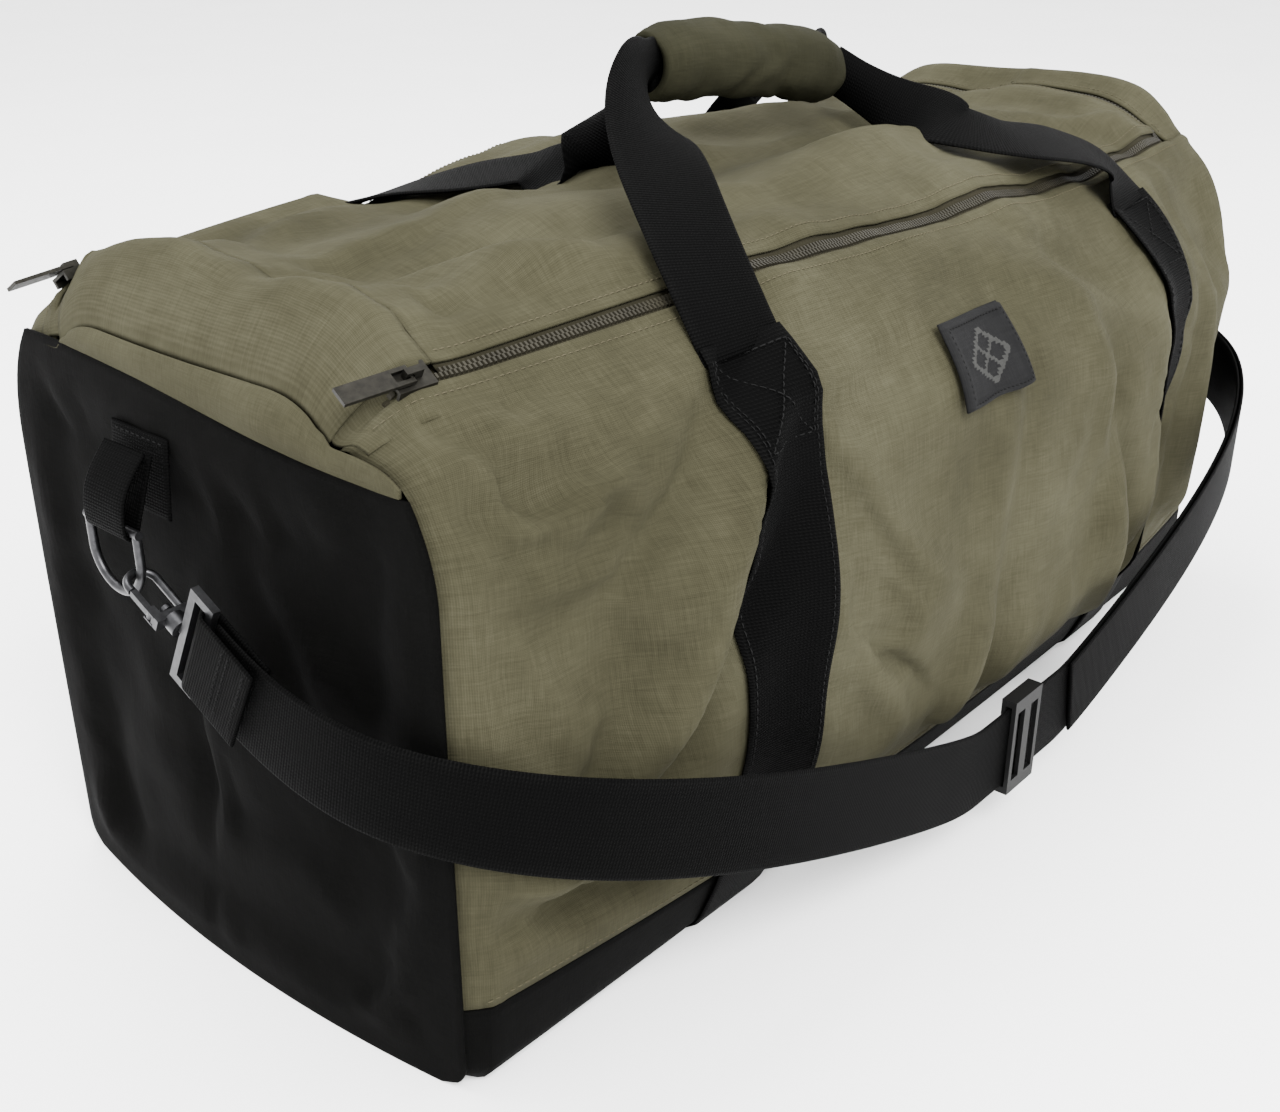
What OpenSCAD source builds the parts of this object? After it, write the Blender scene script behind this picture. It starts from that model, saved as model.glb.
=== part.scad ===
// Soft duffel bag: hollow canvas body, zipped top lid, two webbing handles
// with a padded wrap, and a clip-on shoulder strap.

/* [Body] */
// Length between the two end seams
body_l = 760; // [600:1:900]
// Width of the base between the side seams
body_w = 324; // [260:1:420]
// Height of the ends
body_h = 345; // [280:1:420]
// Radius along the bottom long edges
base_r = 14; // [10:1:30]
// Radius along the top long edges
top_r = 100; // [70:1:120]
// Share of the width that the packed sides bulge by at half height
side_bulge = 0.34; // [0.05:0.01:0.45]
// Share of the width that the top edges spread by
top_spread = 0.2; // [0:0.01:0.3]
// Rise of the top between the ends
crown = 22; // [5:1:40]
// Outward bulge of each end
end_bulge = 16; // [4:1:20]
// Thickness of the canvas
cloth_t = 3; // [2:0.1:4]
// Thickness of the base canvas
base_t = 5; // [4:0.1:7]
// Height of the seam between black and olive on the ends
end_seam_z = 299; // [260:1:315]

/* [Lid] */
// Arc distance from the top centre line to each side zip
zip_w = 121; // [100:1:135]
// Hinge line of the lid, measured from the bag centre
hinge_x = -345; // [-360:1:-300]
// Cross zip at the opening end, measured from the bag centre
cross_x = 330; // [300:1:345]
// Half the width of the zip channel between the canvas edges
zip_gap = 8; // [6:0.5:10]

/* [Handles] */
// Distance of each webbing from the bag centre
web_x = 205; // [150:1:230]
// Width of the webbing
web_w = 50; // [38:1:52]
// Thickness of the webbing
web_t = 2.2; // [1.5:0.1:3]
// Arc height where the handle leaves the panel
root_s = 474; // [430:1:480]
// Height of the centre of the padded wrap
wrap_z = 402; // [400:1:440]
// Length of the padded wrap
wrap_l = 170; // [120:1:190]
// Outside radius of the padded wrap
wrap_r = 22; // [21:0.5:26]
// Tilt of the wrap along the bag
wrap_tilt = 6.5; // [0:0.1:7]

/* [Patch] */
// Length of the patch along the bag
patch_w = 66; // [40:1:80]
// Arc height of the patch
patch_h = 39; // [30:1:60]
// Centre of the patch along the bag
patch_x = -52; // [-120:1:120]
// Arc height of the patch centre
patch_s = 434; // [300:1:445]

/* [Strap] */
// Plane of the strap beside each end, measured from the bag centre
strap_x = 411; // [408:0.5:420]
// Distance of the strap from the bag's centre plane in front
strap_y = 239.5; // [236:0.5:260]
// Height of the strap centre at its lowest, by the adjuster
strap_low = 59.5; // [32:0.5:70]
// Centre of the adjuster along the bag
adjust_x = -31; // [-80:1:60]
// Slope of the hooks below the horizontal
hook_dip = 27.6; // [0:0.1:45]
// Centreline radius of the D-rings
ring_r = 19; // [17:0.5:22]
// Wire radius of the D-rings
ring_wire = 2.2; // [2:0.1:2.4]

/* [Selection] */
// Sub-part to draw

/* [Hidden] */

half_w = body_w / 2;
half_l = body_l / 2;
s_arc = half_w - base_r;
s_side = s_arc + base_r * PI / 2;
s_top = s_side + body_h - base_r - top_r;
s_flat = s_top + top_r * PI / 2;
s_end = s_flat + half_w - top_r;
s_base = s_side + 32;
tube_x = half_l - 4.6;
cap_in = half_l - 4;
seam = 0.6;
zip_s = s_end - zip_w;
panel_top_s = zip_s - zip_gap;
lid_w = zip_w - zip_gap;
wrap_y = -6;
grip_off = 6;
lip = 0.4;
olive = [0.50, 0.47, 0.38];
black = [0.08, 0.08, 0.08];
web_c = [0.12, 0.12, 0.12];
steel = [0.35, 0.35, 0.36];
zip_c = [0.30, 0.28, 0.22];

// D-ring and hook placement in the plane beside an end
ring_c = [29, 228];
pivot = [29, 258];
dip = [-cos(hook_dip), -sin(hook_dip)];
eye = ring_c + (ring_r + 2.3) * dip;
strap_a = 50.5;
strap_end = eye + strap_a * dip;

// Cross-section at arc length s from the bottom centre, moved outwards by d
function sec(s, d = 0) =
  s < s_arc ? [s, -d] :
  s < s_side ? let(a = (s - s_arc) / base_r * 180 / PI)
    [s_arc + (base_r + d) * sin(a), base_r - (base_r + d) * cos(a)] :
  s < s_top ? [half_w + d, base_r + s - s_side] :
  s < s_flat ? let(a = (s - s_top) / top_r * 180 / PI)
    [half_w - top_r + (top_r + d) * cos(a), body_h - top_r + (top_r + d) * sin(a)] :
  [s_end - s, body_h + d];

// Packed shape: sides bulge and the top rises between the ends
function packed(p) =
  let(u = min(1, abs(p[0]) / half_l), v = min(1, abs(p[1]) / half_w), h = p[2] / body_h)
  let(bx = 1 - u * u, mid = 4 * h * (1 - h), h2 = h * abs(h))
  [p[0],
   p[1] * (1 + bx * (side_bulge * mid + top_spread * h2)),
   p[2] + h2 * crown * bx * (1 - 0.6 * v * v)];

// Point on the body: q is the signed arc length from the bottom centre, front negative
function skin(x, q, d = 0) =
  let(c = sec(abs(q), d))
  packed([x, (q < 0 ? -1 : 1) * c[0], c[1]]);

// The same point with w as the signed arc length from the top centre, front negative
function skin_top(x, w, d = 0) =
  skin(x, (w < 0 ? -1 : 1) * (s_end - abs(w)), d);

// Half width of the end outline at height z
function outline(z, inset) =
  let(zb = max(z, 0), ht = body_h - inset)
  zb < base_r ? half_w - base_r + sqrt(base_r * base_r - pow(base_r - zb, 2)) - inset :
  zb > body_h - top_r ?
    half_w - top_r + sqrt(max(0, pow(top_r - inset, 2) - pow(min(zb, ht) - body_h + top_r, 2))) :
  half_w - inset;

function swell(t, z) = end_bulge * (1 - t * t) * 4 * z / body_h * (1 - z / body_h);

function end_seam(t) = end_seam_z + 8 * sin(t * 110 + 20);

function end_skin(side, t, z, x0, inset) =
  [side * (x0 + swell(t, z)), t * outline(z, inset), z];

function steps(a, b, n) = [for (i = [0 : n]) a + (b - a) * i / n];

function unit(v) = v / norm(v);

function wall(a, b, c, d) = [[a, b, c], [a, c, d]];

// Closed solid between two matching grids of points
module slab(po, pi) {
  n = len(po);
  m = len(po[0]);
  b = n * m;
  i0 = floor((n - 1) / 2);
  j0 = floor((m - 1) / 2);
  turn = cross(po[i0 + 1][j0] - po[i0][j0], po[i0][j0 + 1] - po[i0][j0]) * (po[i0][j0] - pi[i0][j0]);
  pts = concat([for (r = po) for (p = r) p], [for (r = pi) for (p = r) p]);
  quads = concat(
    [for (i = [0 : n - 2]) for (j = [0 : m - 2])
      [i * m + j, i * m + j + 1, (i + 1) * m + j + 1, (i + 1) * m + j]],
    [for (i = [0 : n - 2]) for (j = [0 : m - 2])
      [b + i * m + j, b + (i + 1) * m + j, b + (i + 1) * m + j + 1, b + i * m + j + 1]],
    [for (i = [0 : n - 2]) [i * m, (i + 1) * m, b + (i + 1) * m, b + i * m]],
    [for (i = [0 : n - 2])
      [(i + 2) * m - 1, (i + 1) * m - 1, b + (i + 1) * m - 1, b + (i + 2) * m - 1]],
    [for (j = [0 : m - 2]) [j + 1, j, b + j, b + j + 1]],
    [for (j = [0 : m - 2])
      [(n - 1) * m + j, (n - 1) * m + j + 1, b + (n - 1) * m + j + 1, b + (n - 1) * m + j]]);
  tris = [for (q = quads) for (t = wall(q[0], q[1], q[2], q[3])) t];
  polyhedron(points = pts, faces = turn > 0 ? tris : [for (t = tris) [t[2], t[1], t[0]]]);
}

// Arc positions shared by the panels and the webbing that lies on them
base_steps = concat([0, s_arc / 2, s_arc - 5], steps(s_arc, s_side, 5));
side_steps = steps(s_base + seam, s_top, 5);
upper_steps = steps(s_top, root_s, 4);

module side_panel(side) {
  qs = concat(side_steps, [for (i = [1 : 4]) upper_steps[i]], [panel_top_s]);
  xs = steps(-tube_x, tube_x, 20);
  slab([for (x = xs) [for (q = qs) skin(x, side * q, 0)]],
       [for (x = xs) [for (q = qs) skin(x, side * q, -cloth_t)]]);
}

// Depth of the webbing below or above the body skin at arc length q
function web_d(q) =
  abs(q) <= s_arc - 5 ? -2.6 :
  abs(q) >= s_side ? lip :
  -2.6 + (lip + 2.6) * (abs(q) - s_arc + 5) / (s_side - s_arc + 5);

function in_web(x) = abs(abs(x) - web_x) < web_w / 2 + 1.2;

module base_panel() {
  edge = web_w / 2 + 1;
  right = [web_x - edge - 1, web_x - edge, web_x, web_x + edge, web_x + edge + 1];
  left = [for (i = [4 : -1 : 0]) -right[i]];
  xs = concat([-tube_x, -tube_x + 60], left, steps(-110, 110, 4), right, [tube_x - 60, tube_x]);
  half = concat(base_steps, [s_base]);
  qs = concat([for (i = [len(half) - 1 : -1 : 1]) -half[i]], half);
  color(black)
    slab([for (x = xs) [for (q = qs) skin(x, q, in_web(x) ? min(0, web_d(q) - lip) : 0)]],
         [for (x = xs) [for (q = qs) skin(x, q, -base_t)]]);
}

module base_board() {
  color(black)
    translate([-350, -120, base_t + 0.6])
      cube([700, 240, 3]);
}

module front_panel() {
  color(olive)
    side_panel(-1);
}

module back_panel() {
  color(olive)
    side_panel(1);
}

module end_panel(side) {
  ts = steps(-1, 1, 14);
  ks = [for (i = [0 : 12]) i < 4 ? i * 0.015 : 0.045 + (i - 3) / 9 * 0.955];
  color(black)
    slab([for (k = ks) [for (t = ts) end_skin(side, t, k * end_seam(t), half_l, 0)]],
         [for (k = ks) [for (t = ts) end_skin(side, t, k * end_seam(t), cap_in, 0)]]);
}

module shoulder(side, x0, w0) {
  ts = steps(-1, 1, 14);
  ks = steps(0, 90, 6);
  inset = 1.2;
  top = body_h - inset;
  xs = steps(x0, half_l - 2.5, 3);
  ws = steps(-w0, w0, 16);
  color(olive)
    union() {
      slab([for (k = ks) [for (t = ts) let(z0 = end_seam(t) + seam)
             end_skin(side, t, z0 + (top - z0) * sin(k), half_l, inset)]],
           [for (k = ks) [for (t = ts) let(z0 = end_seam(t) + seam)
             end_skin(side, t, z0 + (top - z0) * sin(k), cap_in, inset)]]);
      slab([for (x = xs) [for (w = ws) skin_top(side * x, w, 0)]],
           [for (x = xs) [for (w = ws) skin_top(side * x, w, -cloth_t)]]);
    }
}

// U-shaped run of the zip at a sideways distance o from its centre line
function zip_run(o, x0) =
  let(xr = cross_x + o, wr = zip_w + o)
  concat([for (x = steps(x0, xr, 18)) [x, -wr]],
         [for (i = [1 : 11]) [xr, -wr + 2 * wr * i / 12]],
         [for (x = steps(xr, x0, 18)) [x, wr]]);

module zip_part(o0, o1, d0, d1, x0) {
  a = zip_run(o0, x0);
  b = zip_run(o1, x0);
  slab([for (i = [0 : len(a) - 1]) [skin_top(a[i][0], a[i][1], d1), skin_top(b[i][0], b[i][1], d1)]],
       [for (i = [0 : len(a) - 1]) [skin_top(a[i][0], a[i][1], d0), skin_top(b[i][0], b[i][1], d0)]]);
}

module zip_tape_body() {
  color(zip_c)
    zip_part(1.2, 15, -5.2, -3.8, -368);
}

module zip_teeth_body() {
  color(zip_c)
    zip_part(0.3, 3, -3.4, -0.6, -368);
}

module zip_tape_lid() {
  color(zip_c)
    zip_part(-15, -1.2, -5.2, -3.8, hinge_x + 2);
}

module zip_teeth_lid() {
  color(zip_c)
    zip_part(-3, -0.3, -3.4, -0.6, hinge_x + 2);
}

module lid_panel() {
  xs = steps(hinge_x + 0.5, cross_x - zip_gap, 18);
  ws = steps(-lid_w, lid_w, 16);
  color(olive)
    slab([for (x = xs) [for (w = ws) skin_top(x, w, 0)]],
         [for (x = xs) [for (w = ws) skin_top(x, w, -cloth_t)]]);
}

module webbing(side) {
  up = concat(base_steps, [s_base + seam], [for (i = [1 : 5]) side_steps[i]],
              [for (i = [1 : 4]) upper_steps[i]]);
  qs = concat([for (i = [len(up) - 1 : -1 : 1]) -up[i]], up);
  xs = [for (k = [-1, 0, 1]) side * web_x + k * web_w / 2];
  color(web_c)
    slab([for (q = qs) [for (x = xs) skin(x, q, web_d(q) + web_t)]],
         [for (q = qs) [for (x = xs) skin(x, q, web_d(q))]]);
}

module anchor(side, front) {
  qs = [for (i = [1 : 3]) front * upper_steps[i]];
  xs = [for (k = [-1, 0, 1]) side * web_x + k * (web_w / 2 - 3)];
  d0 = lip + web_t + 0.2;
  color(web_c)
    slab([for (q = qs) [for (x = xs) skin(x, q, d0 + 0.9)]],
         [for (q = qs) [for (x = xs) skin(x, q, d0)]]);
}

module patch() {
  xs = steps(patch_x - patch_w / 2, patch_x + patch_w / 2, 4);
  qs = steps(patch_s - patch_h / 2, patch_s + patch_h / 2, 4);
  color(web_c)
    slab([for (x = xs) [for (q = qs) skin(x, -q, 2.4)]],
         [for (x = xs) [for (q = qs) skin(x, -q, 0.9)]]);
}

module tab_base(side) {
  ts = [for (y = steps(pivot[0] - 22, pivot[0] + 22, 3)) y / half_w];
  zs = steps(pivot[1] - 14, pivot[1] + 24, 3);
  color(web_c)
    slab([for (z = zs) [for (t = ts) end_skin(side, t, z, half_l + 2.2, 0)]],
         [for (z = zs) [for (t = ts) end_skin(side, t, z, half_l + 0.5, 0)]]);
}

// Wrap and handles
module along_wrap() {
  translate([0, wrap_y, wrap_z])
    rotate([0, wrap_tilt, 0])
      children();
}

module wrap_half(side) {
  color(olive)
    along_wrap()
      difference() {
        rotate([0, 90, 0])
          cylinder(h = wrap_l, r = wrap_r, center = true, $fn = 64);
        rotate([0, 90, 0])
          cylinder(h = wrap_l + 2, r = wrap_r - 5, center = true, $fn = 64);
        translate([-wrap_l, side < 0 ? -lip : lip - 2 * wrap_r, -wrap_r - 1])
          cube([2 * wrap_l, 2 * wrap_r, 2 * wrap_r + 2]);
      }
}

module grip(side) {
  color(web_c)
    along_wrap()
      translate([0, side * grip_off, 0])
        cube([wrap_l + 4, 4, 28], center = true);
}

function bez(p, t) =
  pow(1 - t, 3) * p[0] + 3 * t * pow(1 - t, 2) * p[1] + 3 * t * t * (1 - t) * p[2] + pow(t, 3) * p[3];

// Flat band through the points c, with its width along the directions w
module band(c, w, widths, thick, lift = 0) {
  n = len(c);
  tan_i = [for (i = [0 : n - 1]) unit(c[min(i + 1, n - 1)] - c[max(i - 1, 0)])];
  across = [for (i = [0 : n - 1]) unit(w[i] - (w[i] * tan_i[i]) * tan_i[i])];
  out = [for (i = [0 : n - 1]) cross(tan_i[i], across[i])];
  slab([for (i = [0 : n - 1]) [for (k = [-1, 0, 1])
         c[i] + across[i] * k * widths[i] / 2 + out[i] * (lift + thick / 2)]],
       [for (i = [0 : n - 1]) [for (k = [-1, 0, 1])
         c[i] + across[i] * k * widths[i] / 2 + out[i] * (lift - thick / 2)]]);
}

// Smooth curve through the points p, t from 0 to 1
function through(p, t) =
  let(n = len(p) - 1, k = min(n - 1, floor(t * n)), f = t * n - k)
  let(a = p[max(k - 1, 0)], b = p[k], c = p[k + 1], d = p[min(k + 2, n)])
  0.5 * (2 * b + (c - a) * f + (2 * a - 5 * b + 4 * c - d) * f * f
         + (3 * b - a - 3 * c + d) * f * f * f);

function leg_root(side, front) = skin(side * web_x, front * (root_s + 1.8), lip + web_t / 2 + 0.7);

// Direction across the webbing where it leaves the panel
function leg_across(side, front) =
  unit(skin(side * web_x + 20, front * root_s, 2) - skin(side * web_x - 20, front * root_s, 2));

function leg_tip(side, front) =
  let(ex = side * (wrap_l / 2 + 4))
  [ex, wrap_y + front * grip_off, wrap_z - ex * tan(wrap_tilt)];

function leg_widths(ts) = [for (t = ts) web_w - max(0, t - 0.7) / 0.3 * (web_w - 28)];

// Leg pulled straight: side gives left or right, front gives the panel it is sewn to
module taut_leg(side, front) {
  root = leg_root(side, front);
  tip = leg_tip(side, front);
  p = [root, root + [0, -front * 38, 58], tip + [side * 52, front * 20, 6], tip];
  ts = steps(0, 1, 20);
  color(web_c)
    band([for (t = ts) bez(p, t)],
         [for (t = ts) let(r = max(0, t - 0.4) / 0.6, k = r * r * (3 - 2 * r))
           (1 - k) * leg_across(side, front) + k * [0, 0.2, side]],
         leg_widths(ts), web_t);
}

// Leg that droops onto the lid, through points given as steps from its root
module slack_leg(side, front, steps_in, across) {
  root = leg_root(side, front);
  tip = leg_tip(side, front) + [side * 3.5, 0, 0];
  p = concat([root], [for (d = steps_in) root + [side * d[0], front * d[1], d[2]]], [tip]);
  w = concat([leg_across(side, front)], [for (d = across) [d[0], side * front * d[1], side * d[2]]]);
  ts = steps(0, 1, 26);
  color(web_c)
    band([for (t = ts) through(p, t)], [for (t = ts) through(w, t)], leg_widths(ts), web_t);
}

front_path = [[-6, -17, 24], [-34, -30, 38], [-78, -44, 47], [-102, -72, 55], [-98, -112, 60]];
front_across = [[0.85, -0.5, 0.1], [0.4, -0.85, 0.3], [0.4, -0.85, 0.3], [0.95, -0.1, 0.25],
                [0.6, 0, 0.8], [0.08, 0.2, 1]];
back_path = [[-4, -20, 24], [-32, -46, 37], [-62, -80, 46], [-84, -110, 52], [-94, -140, 58]];
back_across = [[0.9, -0.3, 0.1], [0.8, -0.5, 0.1], [0.8, -0.45, -0.1], [0.85, 0.2, -0.2],
               [0.6, 0.5, -0.5], [0.08, 0.2, -1]];

// Shoulder strap: plan curve round the front, height from the sag in front
function strap_pt(v) =
  let(a = 90 * pow(1 - pow(1 - abs(v), 1.73), 2.62), sx = v < 0 ? -1 : 1)
  let(x = sx * strap_x * pow(sin(a), 0.575))
  let(y = strap_end[0] - (strap_end[0] + strap_y) * pow(max(0, cos(a)), 0.578))
  let(far = strap_x - sx * adjust_x - 42, rise = 167.5 - strap_low)
  let(run = max(abs(x - adjust_x) - 42, 0))
  let(e = max(0, (y + 156.6) / (strap_end[0] + 156.6)))
  [x, y, strap_low + rise * (sqrt(run * run + 400) - 20) / (sqrt(far * far + 400) - 20)
         + (strap_end[1] - 167.5) * pow(e, 2.35)];

module strap_run(v0, v1, n, lift) {
  vs = steps(v0, v1, n);
  color(web_c)
    band([for (v = vs) strap_pt(v)], [for (v = vs) [0, 0, 1]], [for (v = vs) web_w], web_t, lift);
}

// Hook frame: x runs from the hook eye to the strap, y along the bag, z across the webbing
module at_hook(side) {
  mirror([side > 0 ? 1 : 0, 0, 0])
    multmatrix([[0, 1, 0, -strap_x],
                [dip[0], 0, -dip[1], eye[0]],
                [dip[1], 0, dip[0], eye[1]],
                [0, 0, 0, 1]])
      children();
}

module strap_fold(side) {
  bar = 45.5;
  color(web_c)
    at_hook(side)
      union() {
        translate([bar, 0, -24.6])
          rotate([0, 0, 90])
            rotate_extrude(angle = 180, $fn = 48)
              translate([3.4, 0])
                square([2, 49.2]);
        for (k = [-1, 1])
          translate([bar - 0.01, k > 0 ? 3.4 : -5.4, -24.6])
            cube([36, 2, 49.2]);
      }
}

module swivel(side) {
  color(steel)
    at_hook(side)
      union() {
        difference() {
          translate([31.3, -2, -29.7])
            cube([16.4, 4, 59.4]);
          translate([35.7, -3, -25.4])
            cube([7.6, 6, 50.8]);
        }
        translate([17, 0, 0])
          rotate([0, 90, 0])
            cylinder(h = 15.3, r = 2, $fn = 48);
        translate([16.8, 0, 0])
          rotate([0, 90, 0])
            cylinder(h = 2.2, r = 3.3, $fn = 48);
      }
}

module hook(side) {
  color(steel)
    at_hook(side)
      union() {
        rotate([0, 0, 90])
          rotate_extrude(angle = 180, $fn = 48)
            translate([7, 0])
              circle(r = 2, $fn = 32);
        translate([-0.01, 7, 0])
          rotate([0, 90, 0])
            cylinder(h = 20.5, r = 2, $fn = 32);
        translate([-0.01, -7, 0])
          rotate([0, 90, 0])
            cylinder(h = 1.8, r = 2, $fn = 32);
        difference() {
          union() {
            translate([19.5, -9, -3])
              cube([4.5, 18, 6]);
            translate([23, 0, 0])
              rotate([0, 90, 0])
                cylinder(h = 7, r = 5, $fn = 48);
            for (k = [-1, 1])
              translate([14.8, -9.2, k > 0 ? 2.15 : -2.95])
                cube([6, 4.4, 0.8]);
          }
          translate([15, 0, 0])
            rotate([0, 90, 0])
              cylinder(h = 20, r = 2.4, $fn = 48);
        }
        translate([17, -7, -2.6])
          cylinder(h = 5.2, r = 1, $fn = 32);
      }
}

module gate(side) {
  color(steel)
    at_hook(side)
      difference() {
        union() {
          translate([17, -7, -1.7])
            cylinder(h = 3.4, r = 2.1, $fn = 32);
          translate([2.4, -8.5, -1.6])
            cube([14, 3, 3.2]);
        }
        translate([17, -7, -3])
          cylinder(h = 6, r = 1.35, $fn = 32);
      }
}

module ring(side) {
  color(steel)
    translate([side * strap_x, ring_c[0], ring_c[1]])
      union() {
        rotate([90, 0, 90])
          rotate([0, 0, 180])
            rotate_extrude(angle = 180, $fn = 64)
              translate([ring_r, 0])
                circle(r = ring_wire, $fn = 32);
        for (k = [-1, 1])
          translate([0, k * ring_r, -0.01])
            cylinder(h = 14, r = ring_wire, $fn = 32);
        translate([0, -ring_r - ring_wire, 14])
          rotate([-90, 0, 0])
            cylinder(h = 2 * (ring_r + ring_wire), r = ring_wire, $fn = 32);
      }
}

module tab_loop(side) {
  color(web_c)
    mirror([side > 0 ? 1 : 0, 0, 0])
      difference() {
        hull() {
          translate([-strap_x, pivot[0] - 16, ring_c[1] + 14])
            rotate([-90, 0, 0])
              cylinder(h = 32, r = 5, $fn = 32);
          translate([-half_l - end_bulge - 8, pivot[0] - 16, pivot[1] + 12])
            cube([4, 32, 8]);
        }
        translate([-strap_x, pivot[0] - 17, ring_c[1] + 14])
          rotate([-90, 0, 0])
            cylinder(h = 34, r = ring_wire + 0.5, $fn = 32);
      }
}

module adjuster() {
  color(steel)
    translate([adjust_x, -strap_y, strap_low])
      difference() {
        cube([30, 9, 60], center = true);
        cube([32, 4, 51.6], center = true);
        for (k = [-1, 1])
          translate([k * 7.5, -5, 0])
            cube([8, 6, 44], center = true);
      }
}

// Zip slider frame: x along the zip, z away from the bag
slide_x0 = -359;
function slide_at(front) = skin_top(slide_x0, front * zip_w, 0);
function slide_to(front) = skin_top(slide_x0 + 110, front * zip_w, 0);

module at_slider(front) {
  p = slide_at(front);
  u = unit(slide_to(front) - p);
  n0 = skin_top(slide_x0, front * zip_w, 1) - p;
  n = unit(n0 - (n0 * u) * u);
  s = cross(n, u);
  multmatrix([[u[0], s[0], n[0], p[0]], [u[1], s[1], n[1], p[1]], [u[2], s[2], n[2], p[2]],
              [0, 0, 0, 1]])
    children();
}

module slider(front) {
  color(zip_c)
    at_slider(front)
      union() {
        difference() {
          translate([-9, -6.2, -2.4])
            cube([18, 12.4, 5]);
          translate([-10, -4.6, -3])
            cube([20, 9.2, 4]);
        }
        translate([-4, -1.6, 2.5])
          difference() {
            cube([8, 3.2, 4.6]);
            translate([2.6, -1, 1.9])
              rotate([-90, 0, 0])
                cylinder(h = 6, r = 1.6, $fn = 24);
          }
      }
}

module pull(front) {
  color(zip_c)
    at_slider(front)
      union() {
        translate([-1.4, -4.4, 4.4])
          rotate([-90, 0, 0])
            cylinder(h = 8.8, r = 0.9, $fn = 24);
        for (k = [-1, 1])
          translate([-10, k > 0 ? 2.4 : -4.4, 3.5])
            cube([9, 2, 1.8]);
        translate([-34, -4.4, 3.5])
          cube([25, 8.8, 1.8]);
      }
}

base_panel();
base_board();
front_panel();
back_panel();
end_panel(-1);  // end_panel_left
end_panel(1);  // end_panel_right
shoulder(-1, -hinge_x + 0.5, lid_w);  // shoulder_left
shoulder(1, cross_x + zip_gap, zip_w + zip_gap - seam);  // shoulder_right
zip_tape_body();
zip_teeth_body();
webbing(-1);  // webbing_left
webbing(1);  // webbing_right
anchor(-1, -1);  // anchor_front_left
anchor(1, -1);  // anchor_front_right
anchor(-1, 1);  // anchor_back_left
anchor(1, 1);  // anchor_back_right
patch();
tab_base(-1);  // tab_base_left
tab_base(1);  // tab_base_right
lid_panel();
zip_tape_lid();
zip_teeth_lid();
slider(-1);  // slider_front
slider(1);  // slider_back
pull(-1);  // pull_front
pull(1);  // pull_back
grip(-1);  // grip_front
grip(1);  // grip_back
taut_leg(-1, -1);  // leg_front_left
slack_leg(1, -1, front_path, front_across);  // leg_front_right
slack_leg(-1, 1, back_path, back_across);  // leg_back_left
taut_leg(1, 1);  // leg_back_right
wrap_half(-1);  // wrap_front
wrap_half(1);  // wrap_back
strap_run(-1, 1, 90, 0);  // strap_webbing
strap_run(0.08, 0.785, 36, 3);  // strap_return
strap_fold(-1);  // strap_fold_left
strap_fold(1);  // strap_fold_right
swivel(-1);  // swivel_left
swivel(1);  // swivel_right
tab_loop(-1);  // tab_loop_left
tab_loop(1);  // tab_loop_right
ring(-1);  // ring_left
ring(1);  // ring_right
hook(-1);  // hook_left
hook(1);  // hook_right
gate(-1);  // gate_left
gate(1);  // gate_right
adjuster();
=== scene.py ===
import math
from itertools import product

import bpy
import numpy as np
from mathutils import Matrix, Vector, noise


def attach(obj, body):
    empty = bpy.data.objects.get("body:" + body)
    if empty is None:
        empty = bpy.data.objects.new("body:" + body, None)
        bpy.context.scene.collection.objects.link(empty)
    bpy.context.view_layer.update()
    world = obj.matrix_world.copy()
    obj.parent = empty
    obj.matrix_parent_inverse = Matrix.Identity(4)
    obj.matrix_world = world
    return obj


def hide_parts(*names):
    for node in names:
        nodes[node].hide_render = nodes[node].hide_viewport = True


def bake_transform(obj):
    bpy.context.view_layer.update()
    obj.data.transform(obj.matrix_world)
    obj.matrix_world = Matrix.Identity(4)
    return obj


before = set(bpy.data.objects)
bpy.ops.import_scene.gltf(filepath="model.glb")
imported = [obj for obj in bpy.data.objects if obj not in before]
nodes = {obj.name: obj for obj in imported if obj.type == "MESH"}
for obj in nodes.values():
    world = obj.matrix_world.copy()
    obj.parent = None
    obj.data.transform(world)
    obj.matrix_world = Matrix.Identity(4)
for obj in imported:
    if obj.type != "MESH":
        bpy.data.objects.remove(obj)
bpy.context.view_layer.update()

MM = 0.001
SIDES = ((-1, "left"), (1, "right"))
FACES = ((-1, "front"), (1, "back"))
STEP = 9.0            # grid spacing of the canvas panels

# Body dimensions in millimetres, the same as in the CAD source
LENGTH, WIDTH, HEIGHT = 760.0, 324.0, 345.0
BASE_R, TOP_R = 14.0, 100.0
SIDE_BULGE, TOP_SPREAD, CROWN, END_BULGE = 0.34, 0.2, 22.0, 16.0
HALF_L, HALF_W = LENGTH / 2, WIDTH / 2
S_ARC = HALF_W - BASE_R
S_SIDE = S_ARC + BASE_R * math.pi / 2
S_TOP = S_SIDE + HEIGHT - BASE_R - TOP_R
S_FLAT = S_TOP + TOP_R * math.pi / 2
S_END = S_FLAT + HALF_W - TOP_R
S_BASE = S_SIDE + 32
ZIP_W, HINGE_X, CROSS_X = 121.0, -345.0, 330.0
ZIP_GAP = 4.4         # from the zip's centre line to the cloth
HEM, HEM_STITCH = 7.0, 9.5   # from the zip's centre line
ZIP_S = S_END - ZIP_W
WEB_X, WEB_W, WEB_T, ROOT_S = 205.0, 50.0, 2.2, 474.0
WRAP_Y, WRAP_Z, WRAP_L, WRAP_R, WRAP_TILT = -6.0, 402.0, 170.0, 22.0, 6.5
PATCH_W, PATCH_H, PATCH_X, PATCH_S = 66.0, 39.0, -52.0, 434.0
GRIP_OFF, GRIP_W = 6.0, 27.0
END_SEAM_Z = 299.0
STRAP_X, STRAP_Y, STRAP_LOW, ADJUST_X = 411.0, 239.5, 59.5, -31.0
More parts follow.
